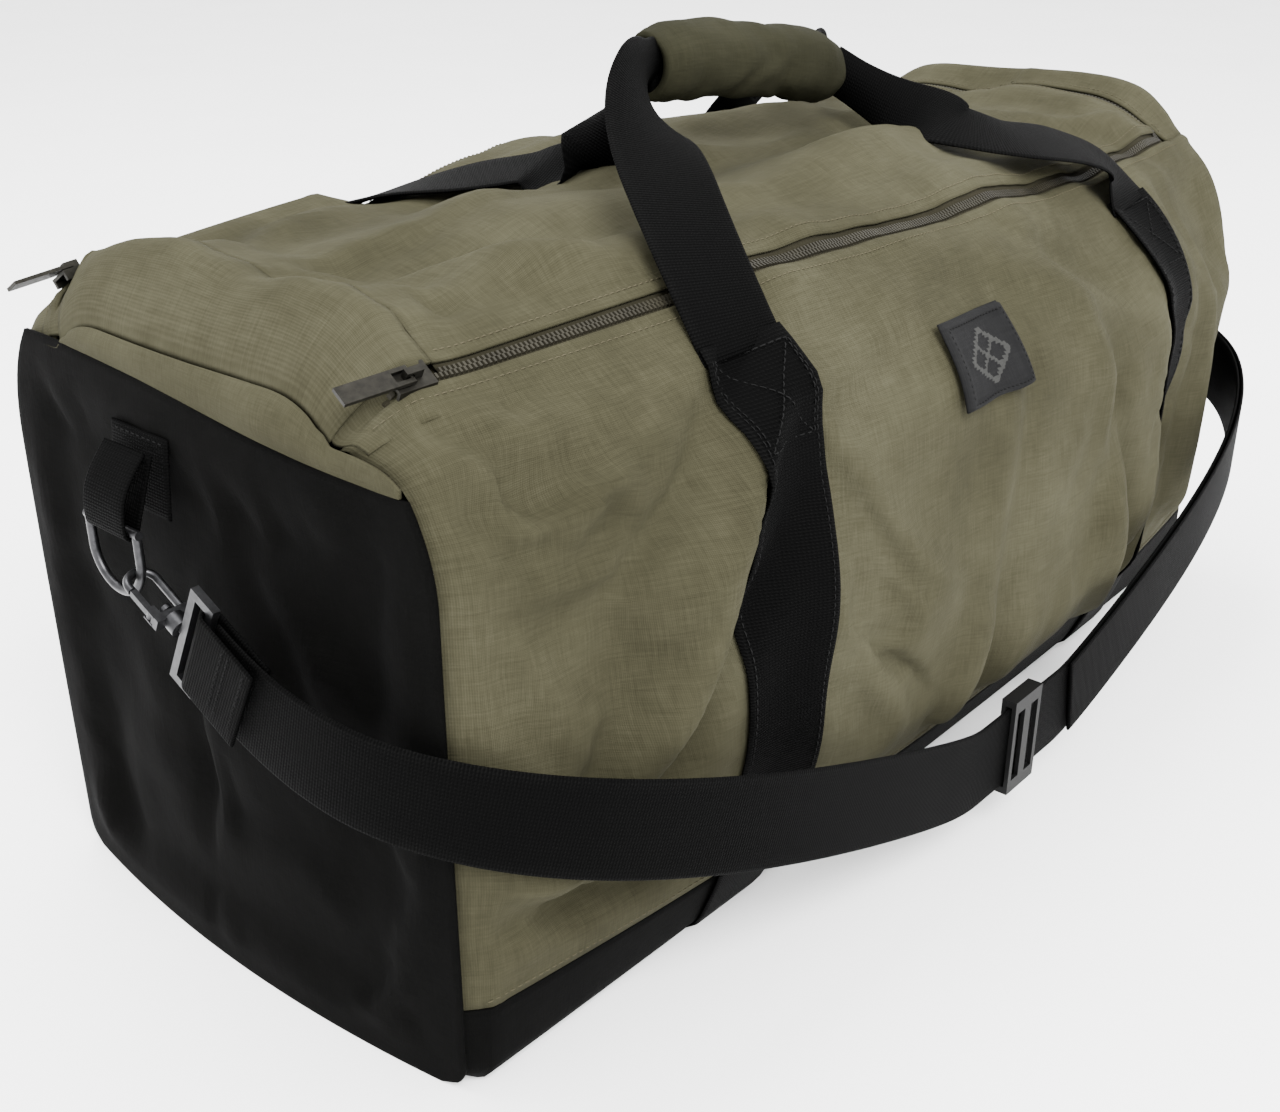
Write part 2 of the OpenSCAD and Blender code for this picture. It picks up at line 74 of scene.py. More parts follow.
ADJUST_HALF, SIDE_Y, SIDE_Z = 42.0, -156.6, 167.5   # flat length by the adjuster; where the strap turns up
RING_C, PIVOT = np.array([29.0, 228.0]), np.array([29.0, 258.0])
RING_R = 19.0
DIP_A = math.radians(27.6)
DIP = np.array([-math.cos(DIP_A), -math.sin(DIP_A)])
EYE = RING_C + (RING_R + 2.3) * DIP
STRAP_END = EYE + 50.5 * DIP


def smooth(t):
    """0 to 1 with soft ends."""
    t = np.clip(t, 0, 1)
    return t * t * (3 - 2 * t)


# ---------------------------------------------------------------- body surface
def section(s, d=0.0):
    """Half cross-section at arc length s from the bottom centre, moved out by d."""
    s = np.asarray(s, float)
    d = d + np.zeros_like(s)
    a1 = np.clip((s - S_ARC) / BASE_R, 0, math.pi / 2)
    a2 = np.clip((s - S_TOP) / TOP_R, 0, math.pi / 2)
    y = np.where(s < S_ARC, s, S_ARC + (BASE_R + d) * np.sin(a1))
    z = np.where(s < S_ARC, -d, BASE_R - (BASE_R + d) * np.cos(a1))
    side = (s >= S_SIDE) & (s < S_TOP)
    y = np.where(side, HALF_W + d, y)
    z = np.where(side, BASE_R + s - S_SIDE, z)
    arc = (s >= S_TOP) & (s < S_FLAT)
    y = np.where(arc, HALF_W - TOP_R + (TOP_R + d) * np.cos(a2), y)
    z = np.where(arc, HEIGHT - TOP_R + (TOP_R + d) * np.sin(a2), z)
    flat = s >= S_FLAT
    y = np.where(flat, S_END - s, y)
    z = np.where(flat, HEIGHT + d, z)
    return y, z


def end_swell(y, z):
    """How far an end is pushed out at (y, z): most at half height, and round the foot of the bag."""
    t = np.clip(np.abs(y) / HALF_W, 0, 1)
    h = np.clip(z / HEIGHT, 0, 1)
    return (1 - t * t) * (END_BULGE * 4 * h * (1 - h) + 15 * (1 - h) ** 4)


def packed(x, y, z):
    """The plain tube swollen by what is packed in it."""
    u = np.clip(np.abs(x) / HALF_L, 0, 1)
    v = np.clip(np.abs(y) / HALF_W, 0, 1)
    h = z / HEIGHT
    bx = 1 - u * u
    h2 = h * np.abs(h)
    out = np.sign(x) * end_swell(y, z) * smooth((np.abs(x) - 290) / (HALF_L - 290))
    return np.stack([
        x + out + 0 * y,
        y * (1 + bx * (SIDE_BULGE * 4 * h * (1 - h) + TOP_SPREAD * h2)),
        z + h2 * CROWN * bx * (1 - 0.6 * v * v)], -1)


def field(x, y, z, scale, seed):
    """Smooth seeded noise over points, about -1 to 1."""
    x, y, z = np.broadcast_arrays(x, y, z)
    out = np.empty(x.size)
    for i, (a, b, c) in enumerate(zip(x.ravel(), y.ravel(), z.ravel())):
        out[i] = noise.noise(Vector((a / scale + seed, b / scale - seed, c / scale + 2 * seed)))
    return out.reshape(x.shape)


def bump(x, q, x0, q0, rx, rq, turn=0.0):
    """Gaussian spot of radii rx, rq at (x0, q0), turned in the surface."""
    c, s = math.cos(turn), math.sin(turn)
    a = (c * (x - x0) + s * (q - q0)) / rx
    b = (-s * (x - x0) + c * (q - q0)) / rq
    return np.exp(-0.5 * (a * a + b * b))


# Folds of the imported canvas: (x, signed arc, length radius, width radius, turn, height)
FOLDS = (
    (-285, -330, 62, 11, 2.15, 6.5), (-250, -322, 58, 9, 2.2, -5.0), (-318, -300, 54, 12, 1.8, -4.5),
    (-325, -262, 52, 10, 0.22, 6.0), (-318, -236, 56, 10, 0.12, -5.5), (-330, -214, 50, 9, 0.05, 4.0),
    (-240, -412, 44, 9, 2.35, 5.0), (-262, -430, 40, 8, 2.5, -5.0), (-292, -446, 38, 8, 2.7, 4.5),
    (-60, -262, 95, 13, 1.75, 4.5), (-28, -268, 90, 12, 1.7, -4.0), (96, -300, 95, 14, 1.35, 4.5),
    (128, -290, 90, 11, 1.3, -4.5), (176, -262, 80, 12, 1.5, 4.0), (262, -300, 85, 10, 1.6, -4.0),
    (300, -250, 80, 13, 1.45, 4.5), (60, -452, 80, 9, 0.3, 3.5), (120, -440, 70, 9, 0.45, -3.5),
    (-130, -460, 70, 8, -0.2, 3.0), (-235, -520, 80, 12, 0.35, 5.5), (-200, -560, 90, 13, 0.25, -5.0),
    (-280, -560, 60, 11, 0.8, 5.0), (60, -560, 110, 14, -0.12, 4.5), (20, -600, 120, 16, 0.08, -4.5),
    (210, -560, 70, 12, 0.5, 4.5), (240, -530, 60, 10, 0.7, -4.0), (-60, 560, 120, 15, 0.1, 4.0),
    (-240, 540, 80, 12, -0.4, 4.0), (180, 540, 90, 13, 0.35, -4.0), (-120, 300, 90, 13, 1.5, 4.5),
    (60, 280, 90, 12, 1.65, -4.5), (-300, 290, 70, 12, 1.3, 4.5), (290, 300, 70, 12, 1.8, 4.0),
)
FOLD_GAIN = 1.9


def relief(x, q):
    """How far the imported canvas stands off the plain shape, in millimetres. q is signed arc length."""
    x, q = np.broadcast_arrays(np.asarray(x, float), np.asarray(q, float))
    s = np.abs(q)
    up = smooth((s - S_BASE) / 46)
    ends = smooth((HALF_L - np.abs(x)) / 30)
    wide = field(x, q, 0 * x, 140, 3.1) * 10 + field(x, q, 0 * x, 62, 7.7) * 4.5
    fine = field(x, q * 0.6, 0 * x, 24, 1.3) * 1.8
    valley = -6.0 * np.exp(-((np.abs(x) - WEB_X) / 28) ** 2) * smooth((S_END - s) / 120)
    zipline = -4.0 * np.exp(-((s - ZIP_S) / 20) ** 2) + 1.6 * np.exp(-((np.abs(s - ZIP_S) - 8.5) / 3) ** 2)
    total = up * (ends * (wide + fine + valley) + zipline)
    for x0, q0, rl, rw, turn, high in FOLDS:
        total = total + ends * up * FOLD_GAIN * high * bump(x, q, x0, q0, rl * 1.1, rw * 0.85, turn)
    # the lid sags under the two slack handle legs, back left and front right
    for side, f, deep, at, wide_x, q0, run in ((-1, 1, 19, 170, 95, 385, 80), (1, -1, 9, 150, 75, 405, 70)):
        along = np.exp(-((x - side * at) / wide_x) ** 2)
        total = total - deep * ends * along * smooth((f * q - q0) / run) * smooth((S_END + 6 - f * q) / 60)
    # bunched canvas at the front left zip end, and a flat run for the sliders
    crumple = bump(x, q, -338, -(ZIP_S - 24), 42, 44)
    track = smooth((x + 182) / -28) * smooth((34 - np.abs(s - ZIP_S)) / 20) * smooth((HALF_L - 12 + x) / 12)
    total = total * (1 - track) - 1.2 * track
    puckers = field(x, q, 0 * x, 21, 5.5) * 24 + field(x, q, 0 * x, 9, 9.1) * 6
    return total + crumple * (1 - track) * ends * puckers


def edge_round(x, q):
    """Radius of the end edges: crisp by the black ends, full where the olive rolls over."""
    full = np.where(x < 0, 28.0, 15.0)
    return 7 + (full - 7) * smooth((np.abs(q) - 450) / 60)


def surface(x, q, d=0.0, folds=True):
    """Point on the bag's outside, d millimetres out."""
    x, q = np.broadcast_arrays(np.asarray(x, float), np.asarray(q, float))
    r = edge_round(x, q)
    t = np.clip((np.abs(x) - (HALF_L - r)) / r, 0, 1)
    drop = r * (1 - np.sqrt(np.maximum(0, 1 - t * t)))
    top = smooth((np.abs(q) - 470) / 70)
    puff = top * np.where(x < 0, 9 * np.exp(-((x + 358) / 17) ** 2), 13 * np.exp(-((x - 366) / 17) ** 2))
    off = d - drop + puff + (relief(x, q) if folds else 0)
    y, z = section(np.abs(q), off)
    return packed(x, np.sign(q + 1e-9) * y, z)


def arc_of(w):
    """Signed arc length of a place on the top, w across from the middle."""
    w = np.asarray(w, float)
    return np.where(w < 0, -1, 1) * (S_END - np.abs(w))


def surface_top(x, w, d=0.0):
    """Point on the top, w across from the middle."""
    return surface(x, arc_of(w), d)


# ---------------------------------------------------------------- mesh helpers
def make(name, verts, faces, uvs=None, mats=(), soft=True):
    """Mesh object from millimetre points."""
    me = bpy.data.meshes.new(name)
    me.from_pydata([tuple(v) for v in np.asarray(verts, float) * MM], [], faces)
    if uvs is not None:
        layer = me.uv_layers.new(name="UVMap")
        loops = np.empty(len(me.loops), np.int32)
        me.loops.foreach_get("vertex_index", loops)
        layer.data.foreach_set("uv", np.asarray(uvs, np.float32)[loops].ravel())
    me.polygons.foreach_set("use_smooth", [soft] * len(me.polygons))
    for m in mats:
        me.materials.append(m)
    me.update()
    me.validate()
    o = bpy.data.objects.new(name, me)
    bpy.context.scene.collection.objects.link(o)
    return o


def grid_faces(n, m, base=0, flip=False):
    """Quads of an n by m grid of points."""
    first = [base + i * m + j for i in range(n - 1) for j in range(m - 1)]
    return [(a, a + 1, a + m + 1, a + m)[::-1 if flip else 1] for a in first]


def uv_of(X, Y):
    """UVs in metres from places in millimetres."""
    return np.stack(np.broadcast_arrays(X * MM, Y * MM), -1)


def unit(v):
    return v / np.linalg.norm(v, axis=-1, keepdims=True)


def run_of(C):
    """Distance along the path C at each of its points."""
    return np.concatenate([[0], np.cumsum(np.linalg.norm(np.diff(C, axis=0), axis=1))])


def sampled(C, d, at):
    """Points at the distances `at` on the path C, whose own points are at the distances d."""
    return np.stack([np.interp(at, d, c) for c in C.T], -1)


def outward(P, Q):
    """True where the grid P runs right-handed about the direction away from Q."""
    i, j = (len(P) - 1) // 2, (len(P[0]) - 1) // 2
    c = np.cross(P[i + 1][j] - P[i][j], P[i][j + 1] - P[i][j])
    return float(np.dot(c, P[i][j] - Q[i][j])) < 0


def shell(name, P, Q, U, mats):
    """Closed piece between an outside grid P and an inside grid Q with UV grid U in metres."""
    P, Q, U = (np.asarray(a, float) for a in (P, Q, U))
    n, m = P.shape[:2]
    b = n * m
    flip = not outward(P, Q)
    faces = grid_faces(n, m, 0, flip) + grid_faces(n, m, b, not flip)
    rim = []
    for i in range(n - 1):
        rim.append((i * m, (i + 1) * m, b + (i + 1) * m, b + i * m))
        rim.append(((i + 2) * m - 1, (i + 1) * m - 1, b + (i + 1) * m - 1, b + (i + 2) * m - 1))
    for j in range(m - 1):
        rim.append((j + 1, j, b + j, b + j + 1))
        rim.append(((n - 1) * m + j, (n - 1) * m + j + 1, b + (n - 1) * m + j + 1, b + (n - 1) * m + j))
    faces += [f[::-1] if flip else f for f in rim]
    verts = np.concatenate([P.reshape(-1, 3), Q.reshape(-1, 3)])
    uv = np.concatenate([U.reshape(-1, 2), U.reshape(-1, 2)])
    return make(name, verts, faces, uv, mats)


def join(objs, name):
    """Makes one piece of several."""
    base = objs[0]
    with bpy.context.temp_override(active_object=base, selected_editable_objects=objs, object=base):
        bpy.ops.object.join()
    base.name = name
    base.data.name = name
    return base


def frames_of(C, W):
    """Tangent, across and normal unit vectors along the points C, across as near W as the path allows."""
    T = unit(np.gradient(C, axis=0))
    A = unit(W - (W * T).sum(1)[:, None] * T)
    return T, A, np.cross(T, A)


def ribbon(name, C, W, widths, thick, mats, lift=0.0, cup=None):
    """Flat webbing along C: rounded edges, UV with u across and v along in metres."""
    C = np.asarray(C, float)
    T, A, N = frames_of(C, np.broadcast_to(np.asarray(W, float), C.shape))
    widths = np.broadcast_to(widths, len(C))
    lift = np.broadcast_to(lift, len(C))
    ks = np.array([-1, -0.975, -0.93, -0.6, -0.2, 0.2, 0.6, 0.93, 0.975, 1])
    hs = np.array([0.1, 0.75, 1, 1, 1, 1, 1, 1, 0.75, 0.1])
    cup = np.zeros(len(C)) if cup is None else cup
    bow = cup[:, None] * (ks[None, :] ** 2 - 0.5)
    P = C[:, None] + A[:, None] * (ks[None, :, None] * widths[:, None, None] / 2) \
        + N[:, None] * (lift[:, None, None] + bow[..., None] + hs[None, :, None] * thick / 2)
    Q = P - N[:, None] * (hs[None, :, None] * thick)
    return shell(name, P, Q, uv_of(ks[None, :] * widths[:, None] / 2, run_of(C)[:, None]), mats)


def stitches(name, path, normal, mat, pitch=4.2, length=3.0, r=0.42, lift=0.15):
    """Row of thread stitches along path, standing out along normal."""
    path = np.asarray(path, float)
    normal = np.broadcast_to(np.asarray(normal, float), path.shape)
    d = run_of(path)
    verts, faces = [], []
    for k in np.arange(pitch / 2, d[-1] - pitch / 2, pitch):
        ends = sampled(path, d, np.array([k - length / 2, k, k + length / 2]))
        n = sampled(normal, d, np.array([k]))[0]
        n = n / np.linalg.norm(n)
        t = ends[2] - ends[0]
        t = t / np.linalg.norm(t)
        s = np.cross(n, t)
        b = len(verts)
        for e, h in zip(ends, (0.2, 1.0, 0.2)):
            c = e + n * (lift + (h - 0.6) * r)
            verts += [c + s * r, c + n * r * h, c - s * r, c - n * r]
        for i in range(2):
            for j in range(4):
                a, c2 = b + i * 4 + j, b + i * 4 + (j + 1) % 4
                faces.append((a, c2, c2 + 4, a + 4))
        faces += [(b + 3, b + 2, b + 1, b), (b + 8, b + 9, b + 10, b + 11)]
    return make(name, np.array(verts), faces, None, [mat])


# ---------------------------------------------------------------- materials
class Mat:
    """A material and short forms for its nodes."""

    def __init__(self, name):
        self.m = bpy.data.materials.new(name)
        self.m.use_nodes = True
        self.t = self.m.node_tree
        self.p = self.t.nodes["Principled BSDF"]

    def feed(self, sock, value):
        """Links an input to a node's output, or sets it to a value."""
        if isinstance(value, bpy.types.NodeSocket):
            self.t.links.new(value, sock)
        else:
            sock.default_value = value

    def node(self, kind, **inputs):
        n = self.t.nodes.new("ShaderNode" + kind)
        for name, value in inputs.items():
            self.feed(n.inputs[name], value)
        return n

    def coord(self, kind="UV", scale=(1, 1, 1), rot=(0, 0, 0)):
        place = self.node("TexCoord").outputs[kind]
        return self.node("Mapping", Scale=scale, Rotation=rot, Vector=place).outputs["Vector"]

    def noise(self, vec, scale, detail=3.0, rough=0.55):
        n = self.node("TexNoise", Scale=scale, Detail=detail, Roughness=rough, Vector=vec)
        return n.outputs["Fac"]

    def wave(self, vec, scale, axis, distort):
        n = self.node("TexWave", Scale=scale, Distortion=distort, Detail=1.0, Vector=vec)
        n.bands_direction = axis
        n.wave_profile = "SIN"
        return n.outputs["Fac"]

    def math(self, op, *values):
        n = self.node("Math")
        n.operation = op
        for sock, value in zip(n.inputs, values):
            self.feed(sock, value)
        return n.outputs[0]

    def add(self, a, b):
        return self.math("ADD", a, b)

    def times(self, a, b):
        return self.math("MULTIPLY", a, b)

    def ramp(self, fac, stops):
        n = self.node("ValToRGB", Fac=fac)
        e = n.color_ramp.elements
        e[0].position, e[0].color = stops[0][0], (*stops[0][1], 1)
        e[1].position, e[1].color = stops[-1][0], (*stops[-1][1], 1)
        for pos, col in stops[1:-1]:
            e.new(pos).color = (*col, 1)
        return n.outputs["Color"]

    def bumped(self, height, strength, distance, **under):
        n = self.node("Bump", Strength=strength, Distance=distance, Height=height, **under)
        return n.outputs["Normal"]

    def surfaced(self, inputs):
        """Sets or links the surface shader's inputs and gives the material."""
        for name, value in inputs.items():
            self.feed(self.p.inputs[name], value)
        return self.m


def canvas(name, dark, mid, light, pitch=1.1, sheen=0.08):
    """Plain-weave cotton canvas: crossing yarns, slubs, worn patches."""
    k = Mat(name)
    uv = k.coord("UV", (1000 / pitch, 1000 / pitch, 1))
    cross = k.times(k.add(k.wave(uv, 0.5, "X", 0.6), k.wave(uv, 0.5, "Y", 0.6)), 0.5)
    ob = k.coord("Object")
    cloud = k.noise(ob, 9.0, 4.0, 0.6)
    slubs = k.add(k.noise(k.coord("UV", (60, 900, 1)), 1.0, 2.0), k.noise(k.coord("UV", (900, 60, 1)), 1.0, 2.0))
    tone = k.add(k.times(cloud, 0.55), k.add(k.times(slubs, 0.2), k.times(cross, 0.12)))
    yarns = k.bumped(cross, 0.35, 0.00035)
    thick = k.bumped(slubs, 0.3, 0.0006, Normal=yarns)
    return k.surfaced({
        "Base Color": k.ramp(tone, [(0.3, dark), (0.52, mid), (0.75, light)]),
        "Roughness": k.add(k.times(k.noise(ob, 700.0, 2.0), 0.12), 0.82),
        "Specular IOR Level": 0.03, "Sheen Weight": sheen, "Sheen Roughness": 0.55,
        "Sheen Tint": (*[min(1, c * 2.2) for c in light], 1),
        "Normal": k.bumped(k.noise(ob, 60.0, 4.0), 0.25, 0.004, Normal=thick)})


def webbing(name, base, light, pitch=2.4, half=0.025):
    """Ribbed webbing: ribs across, two-row herringbone, lighter worn edges."""
    k = Mat(name)
    across = k.node("SeparateXYZ", Vector=k.coord("UV")).outputs[0]
    rib = k.wave(k.coord("UV", (1000 / pitch, 1000 / pitch, 1)), 0.5, "Y", 0.25)
    lane = k.wave(k.coord("UV", (1000 / 3.2, 1000 / 3.2, 1)), 0.5, "X", 0.1)
    twill = k.wave(k.coord("UV", (1000 / 2.2, 1000 / 2.2, 1), (0, 0, 0.7)), 0.5, "X", 0.2)
    edge = k.math("SUBTRACT", k.math("DIVIDE", k.math("ABSOLUTE", across), half), 0.72)
    wear = k.times(k.math("MAXIMUM", k.times(edge, 3.2), 0.0), k.noise(k.coord("Object"), 120.0, 3.0))
    height = k.add(k.times(rib, 0.6), k.add(k.times(lane, 0.25), k.times(twill, 0.25)))
    cloud = k.noise(k.coord("Object"), 22.0, 4.0)
    tone = k.add(k.add(k.times(height, 0.45), k.times(cloud, 0.4)), k.times(wear, 0.35))
    return k.surfaced({
        "Base Color": k.ramp(tone, [(0.2, tuple(c * 0.55 for c in base)), (0.5, base), (0.95, light)]),
        "Roughness": k.add(k.times(cloud, 0.15), 0.62),
        "Specular IOR Level": 0.018, "Sheen Weight": 0.0, "Sheen Roughness": 0.5,
        "Normal": k.bumped(height, 0.7, 0.0006)})


def metal(name, col, rough, wear=0.35):
    """Cast metal, a little cloudy, brighter where it is rubbed."""
    k = Mat(name)
    cloud = k.noise(k.coord("Object"), 260.0, 5.0, 0.65)
    fine = k.noise(k.coord("Object", (400, 400, 3000)), 1.0, 2.0)
    return k.surfaced({
        "Base Color": k.ramp(cloud, [(0.35, tuple(c * 0.6 for c in col)), (0.6, col),
                                     (0.8, tuple(min(1, c * (1 + wear)) for c in col))]),
        "Metallic": 0.95, "Roughness": k.add(k.times(fine, 0.18), rough),
        "Normal": k.bumped(fine, 0.12, 0.0002)})


def plastic(name, col, rough):
    """Moulded plastic with a fine grain."""
    k = Mat(name)
    grain = k.noise(k.coord("Object"), 1400.0, 3.0)
    cloud = k.noise(k.coord("Object"), 60.0, 3.0)
    return k.surfaced({
        "Base Color": k.ramp(cloud, [(0.3, tuple(c * 0.8 for c in col)), (0.7, tuple(c * 1.25 for c in col))]),
        "Roughness": k.add(k.times(grain, 0.14), rough), "Specular IOR Level": 0.12,
        "Normal": k.bumped(grain, 0.15, 0.0002)})


OLIVE = canvas("olive_canvas", (0.0105, 0.0099, 0.0054), (0.0232, 0.0219, 0.0127), (0.0405, 0.0388, 0.0247))
WRAP_OLIVE = canvas("wrap_canvas", (0.0050, 0.0050, 0.0028), (0.0098, 0.0097, 0.0054),
                    (0.0180, 0.0175, 0.0102))
BLACK = canvas("black_canvas", (0.0002, 0.0002, 0.0002), (0.0006, 0.0006, 0.0005), (0.0015, 0.0014, 0.0013),
               sheen=0.0)
WEBBING = webbing("black_webbing", (0.0004, 0.0004, 0.0004), (0.0026, 0.0026, 0.0025))
THREAD = canvas("olive_thread", (0.028, 0.025, 0.015), (0.045, 0.041, 0.026), (0.065, 0.06, 0.04), 0.5)
THREAD_BLACK = canvas("black_thread", (0.003, 0.003, 0.003), (0.006, 0.006, 0.006),
                      (0.012, 0.012, 0.012), 0.5)
TAPE = canvas("zip_tape", (0.008, 0.0072, 0.0045), (0.013, 0.012, 0.0075), (0.02, 0.018, 0.012), 0.8)
TEETH = plastic("zip_teeth", (0.012, 0.0108, 0.007), 0.5)
ZIP_METAL = metal("zip_metal", (0.017, 0.016, 0.013), 0.38)
STEEL = metal("steel", (0.040, 0.040, 0.042), 0.27)
PLASTIC = plastic("black_plastic", (0.0012, 0.0012, 0.0012), 0.5)
BOARD = plastic("board", (0.03, 0.03, 0.03), 0.6)
PATCH = canvas("patch_cloth", (0.0035, 0.0035, 0.0036), (0.0065, 0.0065, 0.0067), (0.012, 0.012, 0.012), 0.8)
PATCH_LINE = canvas("patch_line", (0.014, 0.014, 0.0135), (0.022, 0.022, 0.021), (0.032, 0.032, 0.031), 0.8)


def done(o, body, slot, *replaced):
    """Ties a piece to its body and hides the CAD nodes it stands for; its slot is not used."""
    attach(o, body)
    if replaced:
        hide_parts(*replaced)
    return o


# ---------------------------------------------------------------- canvas panels with simulated wrinkles
def edge_fade(P, reach=34.0):
    """0 on the sewn edges of a grid of points, rising to 1 a reach away from them."""
    near = np.full(P.shape[:2], 1e9)
    for axis in (0, 1):
        step = np.linalg.norm(np.diff(P, axis=axis), axis=-1)
        pad = [(1, 0), (0, 0)] if axis == 0 else [(0, 0), (1, 0)]
        run = np.cumsum(np.pad(step, pad), axis=axis)
        whole = np.take(run, [-1], axis=axis)
        near = np.minimum(near, np.minimum(run, whole - run))
    return smooth((near - 13) / reach)


class Panel:
    """A canvas panel as a grid of points, simulated as cloth with its sewn edges pinned."""

    def __init__(self, name, P, U, pin, inward):
        self.name, self.P, self.U, self.pin, self.inward = name, np.asarray(P, float), U, pin, inward

    def sim_object(self):
        n, m = self.P.shape[:2]
        o = make(self.name + "_sim", self.P.reshape(-1, 3), grid_faces(n, m, 0, not self.inward))
        g = o.vertex_groups.new(name="pin")
        for i, w in enumerate(self.pin.ravel()):
            if w > 0:
                g.add([i], float(w), "REPLACE")
        c = o.modifiers.new("cloth", "CLOTH")
        s = c.settings
        s.quality = 4
        s.mass = 0.25
        s.tension_stiffness = s.compression_stiffness = 12
        s.shear_stiffness = 6
        s.bending_stiffness = 0.35
        s.vertex_group_mass = "pin"
        s.pin_stiffness = 1.0
        s.shrink_min = -0.03
        s.use_pressure = True
        s.uniform_pressure_force = 1.6
        s.effector_weights.gravity = 0.35
        c.collision_settings.use_collision = False
        return o


def simulate(panels, frames=16, cap=9.0):
    """Runs all the panels' cloth together and keeps the wrinkled shapes."""
    scene = bpy.context.scene
    objs = [p.sim_object() for p in panels]
    for f in range(1, frames + 1):
        scene.frame_set(f)
    dg = bpy.context.evaluated_depsgraph_get()
    for p, o in zip(panels, objs):
        e = o.evaluated_get(dg)
        co = np.empty(len(e.data.vertices) * 3, np.float32)
        e.data.vertices.foreach_get("co", co)
        moved = co.reshape(p.P.shape) / MM - p.P
        size = np.linalg.norm(moved, axis=-1, keepdims=True)
        keep = edge_fade(p.P)
        if p in (front, back, lid):
            keep = keep * (1 - np.exp(-((np.abs(p.P[..., 0]) - WEB_X) / 36) ** 2))
        if p is front:
            patch_z = float(surface(PATCH_X, -PATCH_S)[..., 2])
            across, up = p.P[..., 0] - PATCH_X, p.P[..., 2] - patch_z
            keep = keep * (1 - np.exp(-(across / 48) ** 2 - (up / 34) ** 2))
        p.P = p.P + moved * np.minimum(1, cap / np.maximum(size, 1e-6)) * keep[..., None]
        bpy.data.objects.remove(o)
    scene.frame_set(1)


def normals_of(P):
    """Unit normals of a grid of points."""
    a = np.gradient(P, axis=0)
    b = np.gradient(P, axis=1)
    n = np.cross(a, b)
    return n / np.maximum(np.linalg.norm(n, axis=-1, keepdims=True), 1e-9)


def refine(G):
    """Doubles a grid's resolution with smooth cubic midpoints."""
    def along(A):
        n = len(A)
        out = np.empty((2 * n - 1,) + A.shape[1:])
        out[::2] = A
        pad = np.concatenate([[2 * A[0] - A[1]], A, [2 * A[-1] - A[-2]]])
        out[1::2] = (-pad[:-3] + 9 * pad[1:-2] + 9 * pad[2:-1] - pad[3:]) / 16
        return out
    return np.swapaxes(along(np.swapaxes(along(G), 0, 1)), 0, 1)


def panel_piece(p, mats, thick=1.8):
    """The panel as cloth of a given thickness."""
    P, U = refine(p.P), refine(np.asarray(p.U, float))
    n = normals_of(P) * (1 if p.inward else -1)
    return shell(p.name, P, P + n * thick, U, mats)


def pins(n, m):
    """Pin weights of an n by m grid: all four sides held."""
    w = np.zeros((n, m))
    w[[0, -1]] = 1
    w[:, [0, -1]] = 1
    return w


def tube_panel(name, xs, qs):
    """Front or back panel, held along its edges and under the webbings."""
    X, Q = np.meshgrid(xs, qs, indexing="ij")
    P = surface(X, Q)
    on = (np.abs(np.abs(X) - WEB_X) < WEB_W / 2 - 2) & (np.abs(Q) < ROOT_S + 4)
    pin = np.maximum(pins(len(xs), len(qs)), on * 0.9)
    a = np.cross(P[1, 0] - P[0, 0], P[0, 1] - P[0, 0])
    centre = np.array([0, 0, 170.0])
    inward = float(np.dot(a, P[0, 0] * [0, 1, 1] - centre)) < 0
    return Panel(name, P, uv_of(X, Q), pin, inward)


def even(a, b, step):
    """Even spacing from a to b, as near step as fits."""
    return np.linspace(a, b, max(2, int(round(abs(b - a) / step)) + 1))


def hemmed(q0, q1):
    """Evenly spaced rows from q0 to q1, with rows exactly on the hem and its stitching by the zip."""
    f = 1 if q1 > 0 else -1
    rows = even(q0, q1 - f * 8.6, STEP)
    return np.concatenate([rows, q1 - f * np.array([HEM_STITCH - ZIP_GAP, HEM - ZIP_GAP, 0])])


xs_all = even(-HALF_L, HALF_L, STEP)
front = tube_panel("front_panel_cloth", xs_all, hemmed(-(S_BASE + 1), -(ZIP_S - ZIP_GAP)))
back = tube_panel("back_panel_cloth", xs_all, hemmed(S_BASE + 1, ZIP_S - ZIP_GAP))


def lid_panel():
    """Lid panel, with rows exactly on the hem and its stitching on both sides."""
    xs = even(HINGE_X + 0.4, CROSS_X - ZIP_GAP, STEP)
    edge = ZIP_W - ZIP_GAP
    middle = even(-edge, edge, STEP)
    middle = middle[np.abs(middle) < ZIP_W - 12]
    hem = np.array([ZIP_W - HEM_STITCH, ZIP_W - HEM, edge])
    ws = np.concatenate([-hem[::-1], middle, hem])
    X, W = np.meshgrid(xs, ws, indexing="ij")
    return Panel("lid_cloth", surface_top(X, W), uv_of(X, W), pins(*X.shape), False)


lid = lid_panel()


def outline(z, inset):
    """Half width of the end panel at height z, inset from the side skin."""
    z = np.clip(z, 0, HEIGHT - inset - 1e-6)
    foot = BASE_R - np.minimum(z, BASE_R)
    low = HALF_W - BASE_R + np.sqrt(np.maximum(0, BASE_R ** 2 - foot ** 2)) - inset
    high = HALF_W - TOP_R + np.sqrt(np.maximum(0, (TOP_R - inset) ** 2 - (z - HEIGHT + TOP_R) ** 2))
    return np.where(z < BASE_R, low, np.where(z > HEIGHT - TOP_R, high, HALF_W - inset))


def end_seam(y):
    """Height of the wavy seam between black and olive."""
    return END_SEAM_Z + 8 * np.sin(np.radians(y / HALF_W * 110 + 20))


